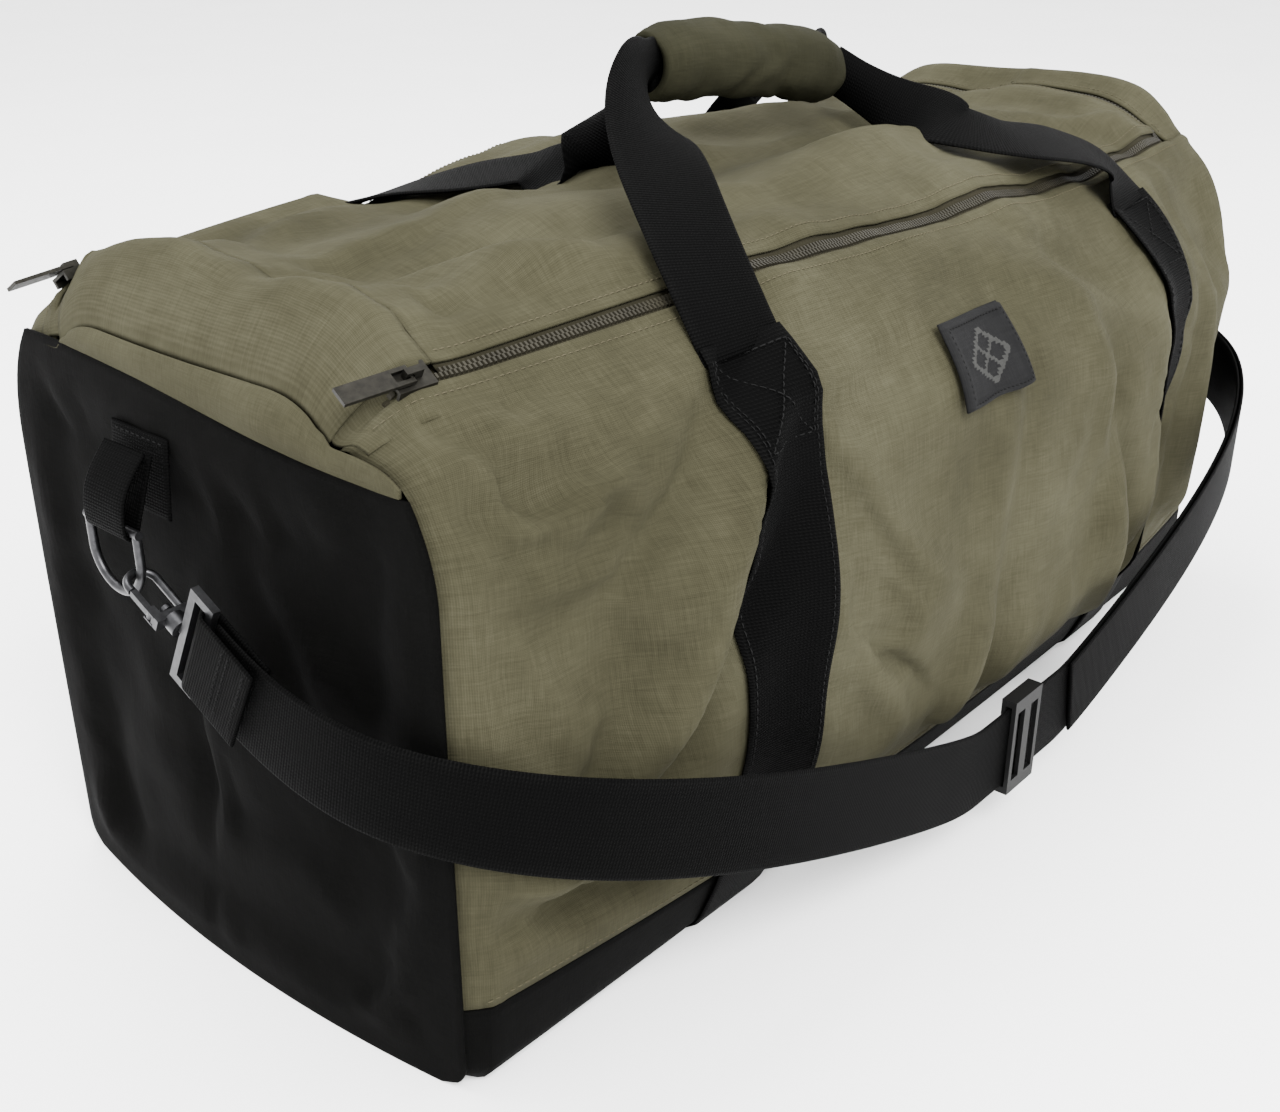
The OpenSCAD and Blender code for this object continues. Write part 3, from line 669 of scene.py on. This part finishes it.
def end_relief(y, z, side):
    """Dents of an end panel: soft waves, a crease down the middle, a slant fold, flat by the tab."""
    edge = smooth((outline(z, 7) - np.abs(y)) / 30) * smooth(z / 40) * smooth((END_SEAM_Z + 4 - z) / 30)
    seed = 11.0 if side < 0 else 17.0
    r = field(y, z, 0 * y, 95, seed) * 10 + field(y, z, 0 * y, 38, seed + 2) * 4
    r = r + 4 * np.exp(-((y - 2) / 6) ** 2) * smooth((235 - z) / 60)
    r = r - 4 * np.exp(-((y - 18) / 9) ** 2) * smooth((235 - z) / 60)
    r = r + 5 * bump(y, z, -95, 170, 60, 10, 0.9) - 5 * bump(y, z, -70, 180, 60, 9, 0.95)
    near = np.exp(-(((y - PIVOT[0]) / 42) ** 2 + ((z - PIVOT[1] + 18) / 60) ** 2))
    return edge * np.minimum(r * (1 - 0.9 * near), 3.0)


def end_point(side, y, z):
    """Point on an end panel at (y, z)."""
    return np.stack([side * (HALF_L + end_swell(y, z) + end_relief(y, z, side)), y, z], -1)


def end_panel(side, name):
    """Black end panel, up to the wavy seam."""
    ks = np.concatenate([np.linspace(0, 0.05, 5)[:-1], np.linspace(0.05, 1, 34)])
    ts = np.linspace(-1, 1, 39)
    K, T = np.meshgrid(ks, ts, indexing="ij")
    Y = T * outline(K * END_SEAM_Z, 7)
    Z = K * end_seam(Y)
    Y = T * outline(Z, 7)
    P = end_point(side, Y, Z)
    return Panel(name, P, uv_of(Y, Z), pins(*Y.shape), side < 0)


ends = {s: end_panel(s, n) for s, n in ((-1, "end_left_cloth"), (1, "end_right_cloth"))}
CAP_W = S_END - (S_TOP + 58)


def shoulder(side, name, x0, w0):
    """Olive cloth from the cross seam, over the rolled edge, down to the black end."""
    roll = 28 if side < 0 else 15
    xs = np.concatenate([even(x0, HALF_L - roll, 7)[:-1],
                         HALF_L - roll + roll * np.sin(np.linspace(0, math.pi / 2, 9))])
    X, W = np.meshgrid(side * xs, even(-w0, w0, 8.0), indexing="ij")
    strip = Panel(name + "_strip", surface_top(X, W), uv_of(X, W), pins(*X.shape), side < 0)
    ws = even(-CAP_W, CAP_W, 7.0)
    E = surface_top(side * HALF_L + 0 * ws, ws)
    rows = np.linspace(0, 1, 12)
    F = end_point(side, E[:, 1], end_seam(E[:, 1]) + 0.5)
    low = np.minimum(F[:, 2], E[:, 2] - 0.5)
    tau = np.abs(ws) / CAP_W
    full = (7 if side < 0 else 16) * (1 - tau ** 3) * np.clip((E[:, 2] - low) / 25, 0, 1)
    full = full * (1 - 0.75 * np.exp(-((E[:, 1] - EYE[0]) / 48) ** 2))
    G = []
    for k in rows:
        e = E * (1 - k) + np.stack([F[:, 0], E[:, 1], low], -1) * k
        e[:, 0] += side * full * math.sin(math.pi * k) ** 0.8
        e[:, 2] += (0 if side < 0 else 9) * (1 - tau ** 3) * math.sin(math.pi * min(1, k * 1.6)) ** 2
        G.append(e)
    G = np.array(G)
    cap = Panel(name + "_cap", G, uv_of(ws[None], (rows * 40)[:, None]), pins(*G.shape[:2]), side > 0)
    return strip, cap


sh_left = shoulder(-1, "shoulder_left", -HINGE_X + 0.4, ZIP_W - ZIP_GAP)
sh_right = shoulder(1, "shoulder_right", CROSS_X + ZIP_GAP, ZIP_W + ZIP_GAP)

simulate([front, back, lid, ends[-1], ends[1]])

done(panel_piece(front, [OLIVE]), "bag_body", "olive_canvas", "front_panel")
done(panel_piece(back, [OLIVE]), "bag_body", "olive_canvas", "back_panel")
lid_o = panel_piece(lid, [OLIVE])
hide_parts("lid_panel")
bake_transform(lid_o)
for side, nm in SIDES:
    done(panel_piece(ends[side], [BLACK]), "bag_body", "black_canvas", "end_panel_" + nm)
for parts, nm in ((sh_left, "left"), (sh_right, "right")):
    pieces = [panel_piece(q, [OLIVE]) for q in parts]
    done(join(pieces, f"shoulder_{nm}_cloth"), "bag_body", "olive_canvas", "shoulder_" + nm)


def base_piece():
    """Black base, sunk where the webbings pass under it."""
    qs = np.concatenate([even(-S_BASE, -S_ARC, 5)[:-1], even(-S_ARC, S_ARC, 12), even(S_ARC, S_BASE, 5)[1:]])
    X, Q = np.meshgrid(even(-HALF_L, HALF_L, 8), qs, indexing="ij")
    sunk = (np.abs(np.abs(X) - WEB_X) < WEB_W / 2 + 1.5) * np.where(np.abs(Q) < S_SIDE, 2.9, 0.0) \
        * (1 - smooth((np.abs(Q) - S_ARC + 5) / (S_SIDE - S_ARC + 5)))
    P = surface(X, Q, -sunk, False)
    R = surface(X, Q, -4.5 + 0 * X, False)
    return shell("base_cloth", P, R, uv_of(X, Q), [BLACK])


done(base_piece(), "bag_body", "black_canvas", "base_panel")


# ---------------------------------------------------------------- webbing on the body
def web_depth(q):
    """Depth of the webbing against the skin: let in under the base, on top up the sides."""
    a = np.abs(q)
    return np.where(a <= S_ARC - 5, -2.6,
                    np.where(a >= S_SIDE, 0.5, -2.6 + 3.1 * (a - S_ARC + 5) / (S_SIDE - S_ARC + 5)))


def body_web(side, sn):
    """One length of webbing from front handle root to back handle root, under the base."""
    qs = even(-ROOT_S, ROOT_S, 7)
    ks = np.array([-1, -0.975, -0.93, -0.5, 0, 0.5, 0.93, 0.975, 1])
    hs = np.array([0.15, 0.75, 1, 1, 1, 1, 1, 0.75, 0.15])
    Q, K = np.meshgrid(qs, ks, indexing="ij")
    X = side * WEB_X + K * WEB_W / 2
    d = web_depth(Q) + 0.9 * smooth((np.abs(Q) - S_SIDE) / 30)
    P = surface(X, Q, d + WEB_T / 2 * (1 + hs[None]))
    R = surface(X, Q, d + WEB_T / 2 * (1 - hs[None]))
    o = shell(f"webbing_{sn}_band", P, R, uv_of(K * WEB_W / 2, Q), [WEBBING])
    return done(o, "bag_body", "black_webbing", f"webbing_{sn}")


for side, sn in SIDES:
    body_web(side, sn)


def on_skin(points, d):
    """Points and outward normals on the surface for (x, q) pairs."""
    pts = np.asarray(points, float)
    a = surface(pts[:, 0], pts[:, 1], d)
    return a, unit(surface(pts[:, 0], pts[:, 1], d + 1) - a)


def dense(corners, step=3.0):
    """Points along straight runs between corners."""
    out = []
    for a, b in zip(corners[:-1], corners[1:]):
        a, b = np.array(a, float), np.array(b, float)
        n = max(2, int(np.linalg.norm(b - a) / step))
        out += [a + (b - a) * i / n for i in range(n)]
    out.append(np.array(corners[-1], float))
    return np.array(out)


def box_stitch(x0, q0, x1, q1, name, mat, d):
    """A stitched box with a cross in it."""
    loops = [dense([(x0, q0), (x1, q0), (x1, q1), (x0, q1), (x0, q0)]),
             dense([(x0, q0), (x1, q1)]), dense([(x0, q1), (x1, q0)])]
    made = []
    for i, c in enumerate(loops):
        p, n = on_skin(c, d)
        made.append(stitches(f"{name}_{i}", p, n, mat))
    return join(made, name)


for (side, sn), (f, fn) in product(SIDES, FACES):
    o = box_stitch(side * WEB_X - 20, f * (ROOT_S - 44), side * WEB_X + 20, f * (ROOT_S - 6),
                   f"anchor_{fn}_{sn}_stitch", THREAD_BLACK, 3.7)
    done(o, "bag_body", "black_thread", f"anchor_{fn}_{sn}")


# ---------------------------------------------------------------- handles
def bez(p, t):
    """Cubic Bezier curve."""
    t = t[:, None]
    return (1 - t) ** 3 * p[0] + 3 * t * (1 - t) ** 2 * p[1] + 3 * t * t * (1 - t) * p[2] + t ** 3 * p[3]


def through(p, t):
    """Smooth curve through the rows of p at t from 0 to 1."""
    n = len(p) - 1
    k = np.minimum(n - 1, np.floor(t * n).astype(int))
    f = (t * n - k)[:, None]
    a, b, c, d = p[np.maximum(k - 1, 0)], p[k], p[k + 1], p[np.minimum(k + 2, n)]
    return 0.5 * (2 * b + (c - a) * f + (2 * a - 5 * b + 4 * c - d) * f * f
                  + (3 * b - a - 3 * c + d) * f ** 3)


def leg(side, f, name, node, path=None, across=None):
    """Handle leg from its root to the wrap: pulled straight, or slack along a path of steps."""
    root = surface(side * WEB_X, f * (ROOT_S - 6), 3.9)
    a0 = surface(side * WEB_X + 20, f * ROOT_S, 2) - surface(side * WEB_X - 20, f * ROOT_S, 2)
    a0 /= np.linalg.norm(a0)
    ex = side * (WRAP_L / 2 - 2)
    tip = np.array([ex, WRAP_Y + f * GRIP_OFF, WRAP_Z - ex * math.tan(math.radians(WRAP_TILT))])
    t = np.linspace(0, 1, 60)
    if path is None:
        C = bez([root, root + np.array([0, -f * 40, 60]), tip + np.array([side * 54, f * 20, 6]), tip], t)
        k = smooth((t - 0.4) / 0.6)[:, None]
        W = (1 - k) * a0 + k * np.array([0, 0.2, side])
    else:
        mid = [root + np.array([side * d[0], f * d[1], d[2]]) for d in path]
        C = through(np.array([root] + mid + [tip]), t)
        W = through(np.array([a0] + [np.array([d[0], side * f * d[1], side * d[2]]) for d in across]), t)
    narrow = 0.45 if path is None and f > 0 else 0.72
    w = WEB_W - smooth((t - narrow) / (0.95 - narrow)) * (WEB_W - GRIP_W)
    cup = np.maximum(0, t - 0.6) * 16
    o = ribbon(name, C, W, w, WEB_T, [WEBBING], cup=cup)
    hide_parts(node)
    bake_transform(o)
    return o


FRONT_PATH = [(-6, -17, 24), (-34, -30, 38), (-78, -44, 47), (-102, -72, 55), (-98, -112, 60)]
FRONT_ACROSS = [(0.85, -0.5, 0.1), (0.4, -0.85, 0.3), (0.4, -0.85, 0.3), (0.95, -0.1, 0.25),
                (0.6, 0, 0.8), (0.08, 0.2, 1)]
BACK_PATH = [(-4, -20, 24), (-32, -46, 37), (-62, -80, 46), (-84, -110, 52), (-94, -140, 58)]
BACK_ACROSS = [(0.9, -0.3, 0.1), (0.8, -0.5, 0.1), (0.8, -0.45, -0.1), (0.85, 0.2, -0.2),
               (0.6, 0.5, -0.5), (0.08, 0.2, -1)]
leg(-1, -1, "leg_front_left_band", "leg_front_left")
leg(1, -1, "leg_front_right_band", "leg_front_right", FRONT_PATH, FRONT_ACROSS)
leg(-1, 1, "leg_back_left_band", "leg_back_left", BACK_PATH, BACK_ACROSS)
leg(1, 1, "leg_back_right_band", "leg_back_right")

tilt = math.radians(WRAP_TILT)


def wrap_frame(L, y, z):
    """Point at length L along the wrap and offsets y, z from its arched axis."""
    z = z + 5 * (1 - (np.abs(L) / (WRAP_L / 2)) ** 2) - 2
    return np.stack([L * math.cos(tilt) + z * math.sin(tilt), WRAP_Y + y,
                     WRAP_Z - L * math.sin(tilt) + z * math.cos(tilt)], -1)


def wrap(name, node, body, a0, a1):
    """One half of the padded wrap, from angle a0 to a1 in degrees round the handle."""
    Ls = even(-WRAP_L / 2, WRAP_L / 2, 3.2)
    As = np.radians(even(a0, a1, 5.5))
    Lg, Ag = np.meshgrid(Ls, As, indexing="ij")
    u = np.abs(Lg) / (WRAP_L / 2)
    end = 1 - 0.16 * smooth((u - 0.8) / 0.2)
    cy, cz = np.cos(Ag) * 24, np.sin(Ag) * 24
    lumps = field(Lg, cy, cz, 20, 4.4) * 2.0 + field(Lg, cy, cz, 52, 6.4) * 2.2
    drift = 2.2 * field(Lg, cy, cz, 40, 2.4) * 3
    creases = 1.6 * np.sin(Lg / 9 + drift) * (0.5 + 0.5 * np.cos(Ag)) * (1 - u ** 4)
    lip = np.clip(smooth((Ag - As[0]) / 0.25) * smooth((As[-1] - Ag) / 0.25), 0, 1)
    hem = 1.0 * np.exp(-((np.abs(Lg) - (WRAP_L / 2 - 5)) / 2.2) ** 2)
    ro = (WRAP_R - 3.6 + 2.6 * np.sqrt(lip) + (lumps + creases) * lip * 0.8 + hem) * end
    ri = (WRAP_R - 6.5) * 0.92
    P = wrap_frame(Lg, -np.sin(Ag) * ro * 0.98, -np.cos(Ag) * ro)
    Q = wrap_frame(Lg, -np.sin(Ag) * ri * 0.98, -np.cos(Ag) * ri)
    o = shell(name, P, Q, uv_of(Lg, Ag * WRAP_R), [WRAP_OLIVE])
    return done(o, body, "olive_canvas", node)


wrap("wrap_front_pad", "wrap_front", "front_handle", 3, 212)
wrap("wrap_back_pad", "wrap_back", "back_handle", 215, 357)

for f, fn in FACES:
    Ls = even(-WRAP_L / 2 - 1, WRAP_L / 2 + 1, 5)
    C = wrap_frame(Ls, f * GRIP_OFF + 0 * Ls, 0 * Ls)
    o = ribbon(f"grip_{fn}_band", C, (0, 0, 1), GRIP_W, 3.4, [WEBBING])
    done(o, f"{fn}_handle", "black_webbing", f"grip_{fn}")


# ---------------------------------------------------------------- shoulder strap
def strap_point(v):
    """Centre of the strap at v from -1 at the left hook to 1 at the right hook."""
    v = np.asarray(v, float)
    a = math.pi / 2 * (1 - (1 - np.abs(v)) ** 1.73) ** 2.62
    sx = np.where(v < 0, -1.0, 1.0)
    x = sx * STRAP_X * np.sin(a) ** 0.575
    y = STRAP_END[0] - (STRAP_END[0] + STRAP_Y) * np.maximum(0, np.cos(a)) ** 0.578
    far = STRAP_X - sx * ADJUST_X - ADJUST_HALF
    run = np.maximum(np.abs(x - ADJUST_X) - ADJUST_HALF, 0)
    e = np.maximum(0, (y - SIDE_Y) / (STRAP_END[0] - SIDE_Y))
    z = STRAP_LOW + (SIDE_Z - STRAP_LOW) * (np.sqrt(run ** 2 + 400) - 20) / (np.sqrt(far ** 2 + 400) - 20) \
        + (STRAP_END[1] - SIDE_Z) * e ** 2.35
    return np.stack([x, y, z], -1)


def strap(name, node, v0, v1, n, lift):
    """Strap webbing from v0 to v1."""
    o = ribbon(name, strap_point(np.linspace(v0, v1, n)), (0, 0, 1), WEB_W, WEB_T, [WEBBING], lift=lift)
    return done(o, "shoulder_strap", "black_webbing", node)


strap("strap_band", "strap_webbing", -1, 1, 240, 0)
strap("strap_return_band", "strap_return", 0.08, 0.785, 110, 3)


def at_hook(side, a, b, c):
    """Point in the hook's frame: a from the eye to the strap, b along the bag, c across the webbing."""
    a, b, c = np.broadcast_arrays(np.asarray(a, float), np.asarray(b, float), np.asarray(c, float))
    return np.stack([side * (STRAP_X - b), EYE[0] + DIP[0] * a - DIP[1] * c,
                     EYE[1] + DIP[1] * a + DIP[0] * c], -1)


def strap_fold(side, sn):
    """Strap end folded round the swivel's bar and sewn back on itself."""
    bar, r, end = 45.5, 4.4, 81.5
    turn = np.linspace(math.pi / 2, 3 * math.pi / 2, 15)
    a = np.concatenate([np.linspace(end, bar + 1, 12), bar + r * np.cos(turn), np.linspace(bar + 1, end, 12)])
    b = np.concatenate([np.full(12, r), r * np.sin(turn), np.full(12, -r)])
    C = at_hook(side, a, b, 0)
    parts = [ribbon(f"strap_fold_{sn}_band", C, (0, -DIP[1], DIP[0]), 49, 2, [WEBBING])]
    for k in (-1, 1):
        for row in (62, 66, 77):
            p = at_hook(side, row, k * 5.5, np.linspace(-21, 21, 16))
            parts.append(stitches(f"st_{k}_{row}", p, np.array([-side * k, 0, 0.0]), THREAD_BLACK, lift=0.0))
    done(join(parts, f"strap_fold_{sn}_band"), "shoulder_strap", "black_webbing", f"strap_fold_{sn}")


def tab_base(side, sn):
    """Webbing sewn flat on the end panel."""
    zs = np.linspace(PIVOT[1] + 24, PIVOT[1] - 14, 12)
    C = np.stack([side * (HALF_L + end_swell(PIVOT[0] + 0 * zs, zs) + 1.6), PIVOT[0] + 0 * zs, zs], -1)
    parts = [ribbon(f"tab_base_{sn}_band", C, (0, 1, 0), 44, 2, [WEBBING])]
    x = C[0, 0] + side * 1.2
    for z in (PIVOT[1] + 21, PIVOT[1] - 11):
        row = [[x, PIVOT[0] - 19, z], [x, PIVOT[0] + 19, z]]
        parts.append(stitches("s", row, [side, 0, 0], THREAD_BLACK))
    done(join(parts, f"tab_base_{sn}_band"), "bag_body", "black_webbing", f"tab_base_{sn}")


def tab_loop(side, sn):
    """Webbing loop from the tab down round the straight bar of the ring."""
    bar_z, r = RING_C[1] + 14, 3.4
    top = np.array([HALF_L + float(end_swell(PIVOT[0], PIVOT[1])) + 1.6 + 3.0, PIVOT[1] + 16])
    turn = np.linspace(0, math.pi, 13)
    bend = np.stack([STRAP_X + r * np.cos(turn), bar_z - r * np.sin(turn)], -1)
    k = np.linspace(0, 1, 12)[:, None]
    outer = (1 - k) * (top + [3.0, 2]) + k * bend[0]
    outer[:, 0] += 5 * np.sin(math.pi * k[:, 0])
    inner = (1 - k) * bend[-1] + k * top
    prof = np.concatenate([outer[:-1], bend, inner[1:]])
    C = np.stack([side * prof[:, 0], PIVOT[0] + 0 * prof[:, 0], prof[:, 1]], -1)
    o = ribbon(f"tab_loop_{sn}_band", C, (0, 1, 0), 32, 1.8, [WEBBING])
    done(o, "shoulder_strap", "black_webbing", f"tab_loop_{sn}")


for side, sn in SIDES:
    strap_fold(side, sn)
    tab_base(side, sn)
    tab_loop(side, sn)


# ---------------------------------------------------------------- zip, patch and seams
def zip_path(o, x0, step):
    """Points (x, w) of the U-shaped zip at sideways distance o, evenly spaced."""
    xr, wr = CROSS_X + o, ZIP_W + o
    c = np.array([(x0, -wr), (xr - 6, -wr), (xr, -wr + 6), (xr, wr - 6), (xr - 6, wr), (x0, wr)])
    d = run_of(c)
    return sampled(c, d, np.arange(0, d[-1], step))


def on_top(x, w, d):
    """Points and outward normals on the top for places x, w."""
    return on_skin(np.stack([x, arc_of(w)], -1), d)


def zip_tape(name, node, body, o0, o1, x0):
    """Tape between sideways distances o0 and o1, just under the cloth."""
    count = len(zip_path((o0 + o1) / 2, x0, 9.0))
    grid = []
    for o in np.linspace(o0, o1, 5):
        p = zip_path(o, x0, 3.0)
        grid.append(sampled(p, np.arange(len(p)), np.linspace(0, len(p) - 1, count)))
    G = np.array(grid)
    P = surface_top(G[..., 0], G[..., 1], -2.6)
    Q = surface_top(G[..., 0], G[..., 1], -3.5)
    o = shell(name, P, Q, G * MM, [TAPE])
    return done(o, body, "zip_tape", node)


def zip_teeth(name, node, body, sign, x0):
    """Moulded coil: one bead every 2.4 mm on this side, out of step with the other side."""
    p = zip_path(sign * 1.15, x0, 2.4)
    t = unit(np.gradient(p, axis=0))
    side = np.stack([-t[:, 1], t[:, 0]], -1) * -sign
    shift = 0.6 * sign
    verts, faces = [], []
    for c, tt, ss in zip(p + t * shift, t, side):
        b = len(verts)
        for lift in (-2.5, -1.1):
            for a, e in ((-0.8, -1.5), (0.8, -1.5), (0.8, 1.3), (-0.8, 1.3)):
                q = c + tt * a * (1 if lift < -2 else 0.7) + ss * e * (1 if lift < -2 else 0.8)
                verts.append((q[0], q[1], lift))
        faces += [(b + 4, b + 5, b + 6, b + 7)] + [(b + i, b + (i + 1) % 4, b + 4 + (i + 1) % 4, b + 4 + i)
                                                   for i in range(4)] + [(b + 3, b + 2, b + 1, b)]
    v = np.array(verts)
    P = surface_top(v[:, 0], v[:, 1], v[:, 2])
    o = make(name, P, faces, None, [TEETH], False)
    return done(o, body, "zip_teeth", node)


zip_tape("zip_tape_body_cloth", "zip_tape_body", "bag_body", 1.0, 13, -368)
zip_tape("zip_tape_lid_cloth", "zip_tape_lid", "lid", -13, -1.0, HINGE_X + 2)
zip_teeth("zip_coil_body", "zip_teeth_body", "bag_body", 1, -366)
zip_teeth("zip_coil_lid", "zip_teeth_lid", "lid", -1, HINGE_X + 3)


def gather(f, fn):
    """Bunched canvas that closes the corner where the zip runs into the end."""
    xs, ws = np.linspace(-(HALF_L - 1), HINGE_X + 6, 16), np.linspace(ZIP_W - 16, ZIP_W + 18, 14)
    X, W = np.meshgrid(xs, f * ws, indexing="ij")
    dip = 2.2 + 2.5 * smooth((X - HINGE_X + 10) / 12) + field(X, W, 0 * X, 12, 8.2) * 4
    P = surface_top(X, W, -dip)
    o = shell(f"zip_gather_{fn}", P, surface_top(X, W, -dip - 2), uv_of(X, W), [OLIVE])
    return done(o, "bag_body", "olive_canvas")


for f, fn in FACES:
    gather(f, fn)


def top_seam(o, x0, x1, name, body):
    """Topstitching beside the zip."""
    made = []
    for f in (-1, 1):
        xs = even(x0, x1, 3)
        p, n = on_top(xs, f * (ZIP_W + o) + 0 * xs, 0.05)
        made.append(stitches("s", p, n, THREAD, pitch=3.6, length=2.6, r=0.34))
    ws = even(-(ZIP_W + o) + 3, ZIP_W + o - 3, 3)
    p, n = on_top(CROSS_X + o + 0 * ws, ws, 0.05)
    made.append(stitches("s", p, n, THREAD, pitch=3.6, length=2.6, r=0.34))
    return done(join(made, name), body, "black_thread")


top_seam(HEM_STITCH, -376, CROSS_X + 9, "zip_stitch_body", "bag_body")
top_seam(-HEM_STITCH, HINGE_X + 4, CROSS_X - 9, "zip_stitch_lid", "lid")


def patch_piece():
    """Generic square patch: raised border, and a diamond with a cross in it."""
    xs = np.linspace(-1, 1, 45)
    qs = np.linspace(-1, 1, 29)
    A, B = np.meshgrid(xs, qs, indexing="ij")
    edge = np.maximum(np.abs(A), np.abs(B))
    hem = 0.9 * smooth((edge - 0.80) / 0.05) * smooth((1.0 - edge) / 0.04)
    ring = np.abs(np.abs(A) + np.abs(B) - 0.62)
    cross = np.minimum(np.abs(A - B), np.abs(A + B))
    mark = smooth((0.09 - ring) / 0.05) + smooth((0.08 - cross) / 0.05) * (np.abs(A) + np.abs(B) < 0.62)
    X = PATCH_X + A * PATCH_W / 2
    Qa = -(PATCH_S + B * PATCH_H / 2)
    d = 1.0 + 1.3 * smooth((1.0 - edge) / 0.03) + hem + 0.55 * np.clip(mark, 0, 1)
    P = surface(X, Qa, d)
    R = surface(X, Qa, 0.2 + 0 * d)
    o = shell("patch_cloth", P, R, uv_of(X, Qa), [PATCH, PATCH_LINE])
    pale = [int(mark[i:i + 2, j:j + 2].mean() > 0.45) for i in range(len(xs) - 1) for j in range(len(qs) - 1)]
    o.data.polygons.foreach_set("material_index", pale + [0] * (len(o.data.polygons) - len(pale)))
    border = [(-1, -1), (1, -1), (1, 1), (-1, 1), (-1, -1)]
    half_w, half_h = PATCH_W / 2 - 3.2, PATCH_H / 2 - 3.2
    p, normal = on_skin(dense([(PATCH_X + a * half_w, -(PATCH_S + b * half_h)) for a, b in border], 2.5), 3.1)
    row = stitches("s", p, normal, THREAD_BLACK, pitch=3.2, length=2.3, r=0.35)
    return done(join([o, row], "patch_cloth"), "bag_body", "patch_cloth", "patch")


patch_piece()


def seam_rows():
    """Topstitching above the base seam, front and back."""
    made = []
    for f in (-1, 1):
        xs = even(-HALF_L + 6, HALF_L - 6, 4)
        p, n = on_skin(np.stack([xs, f * (S_BASE + 5) + 0 * xs], -1), 0.1)
        made.append(stitches("s", p, n, THREAD, pitch=4.0, length=2.9, r=0.36))
    return done(join(made, "seam_stitch_sides"), "bag_body", "black_thread")


seam_rows()


def web_rows():
    """Stitching along both edges of the body webbings."""
    made = []
    qs = even(S_BASE + 6, ROOT_S - 4, 4)
    for side, f, e in product((-1, 1), repeat=3):
        p, n = on_skin(np.stack([side * WEB_X + e * (WEB_W / 2 - 3.5) + 0 * qs, f * qs], -1), 3.65)
        made.append(stitches("s", p, n, THREAD_BLACK, pitch=4.4, length=3.1, r=0.36, lift=0.1))
    return done(join(made, "webbing_stitch"), "bag_body", "black_thread")


web_rows()


# ---------------------------------------------------------------- CAD pieces that stay, with finishes
def paint(names, mat):
    """Gives CAD nodes one material."""
    for n in names:
        o = nodes[n]
        o.data.materials.clear()
        o.data.materials.append(mat)


paint(["swivel_left", "swivel_right", "ring_left", "ring_right", "hook_left", "hook_right",
       "gate_left", "gate_right"], STEEL)
paint(["slider_front", "slider_back", "pull_front", "pull_back"], ZIP_METAL)
paint(["adjuster"], PLASTIC)
paint(["base_board"], BOARD)

# ---------------------------------------------------------------- stage, light and camera
k = Mat("floor")
mottle = k.noise(k.coord("Object"), 3.0, 3.0)
FLOOR = k.surfaced({"Base Color": k.ramp(mottle, [(0.3, (0.90, 0.90, 0.90)), (0.7, (0.93, 0.93, 0.93))]),
                    "Roughness": 0.9})
bpy.ops.mesh.primitive_plane_add(size=40)
floor = bpy.context.object
floor.name = "floor"
floor.location = (0, 0, -0.0005)
floor.data.materials.append(FLOOR)

scene = bpy.context.scene
world = bpy.data.worlds.new("studio")
world.use_nodes = True
world.node_tree.nodes["Background"].inputs["Color"].default_value = (1, 1, 1, 1)
world.node_tree.nodes["Background"].inputs["Strength"].default_value = 3.3
scene.world = world


def area(name, at, look, size, power):
    """Soft rectangular light at a place, turned to look at another."""
    data = bpy.data.lights.new(name, "AREA")
    data.shape = "RECTANGLE"
    data.size, data.size_y = size
    data.energy = power
    o = bpy.data.objects.new(name, data)
    o.location = at
    o.rotation_euler = (Vector(look) - Vector(at)).to_track_quat("-Z", "Y").to_euler()
    scene.collection.objects.link(o)


area("key", (-1.3, -2.2, 2.6), (0, 0, 0.2), (1.6, 1.6), 360)
area("fill", (2.2, -2.0, 1.6), (0, 0, 0.2), (2.0, 2.0), 55)
area("top", (-0.2, 1.0, 2.9), (0, 0, 0.3), (2.2, 1.6), 150)

YAW, PITCH, LENS = math.radians(40.73), math.radians(25.28), 43.7259375
CAMERA_AT = (-0.7407, -0.5686, 0.5281)
cam_data = bpy.data.cameras.new("camera")
cam_data.sensor_width = 36
cam_data.lens = LENS
cam_data.clip_end = 100
cam = bpy.data.objects.new("camera", cam_data)
cam.location = CAMERA_AT
fwd = Vector((math.cos(PITCH) * math.cos(YAW), math.cos(PITCH) * math.sin(YAW), -math.sin(PITCH)))
cam.rotation_mode = "QUATERNION"
cam.rotation_quaternion = fwd.to_track_quat("-Z", "Y")
scene.collection.objects.link(cam)
scene.camera = cam
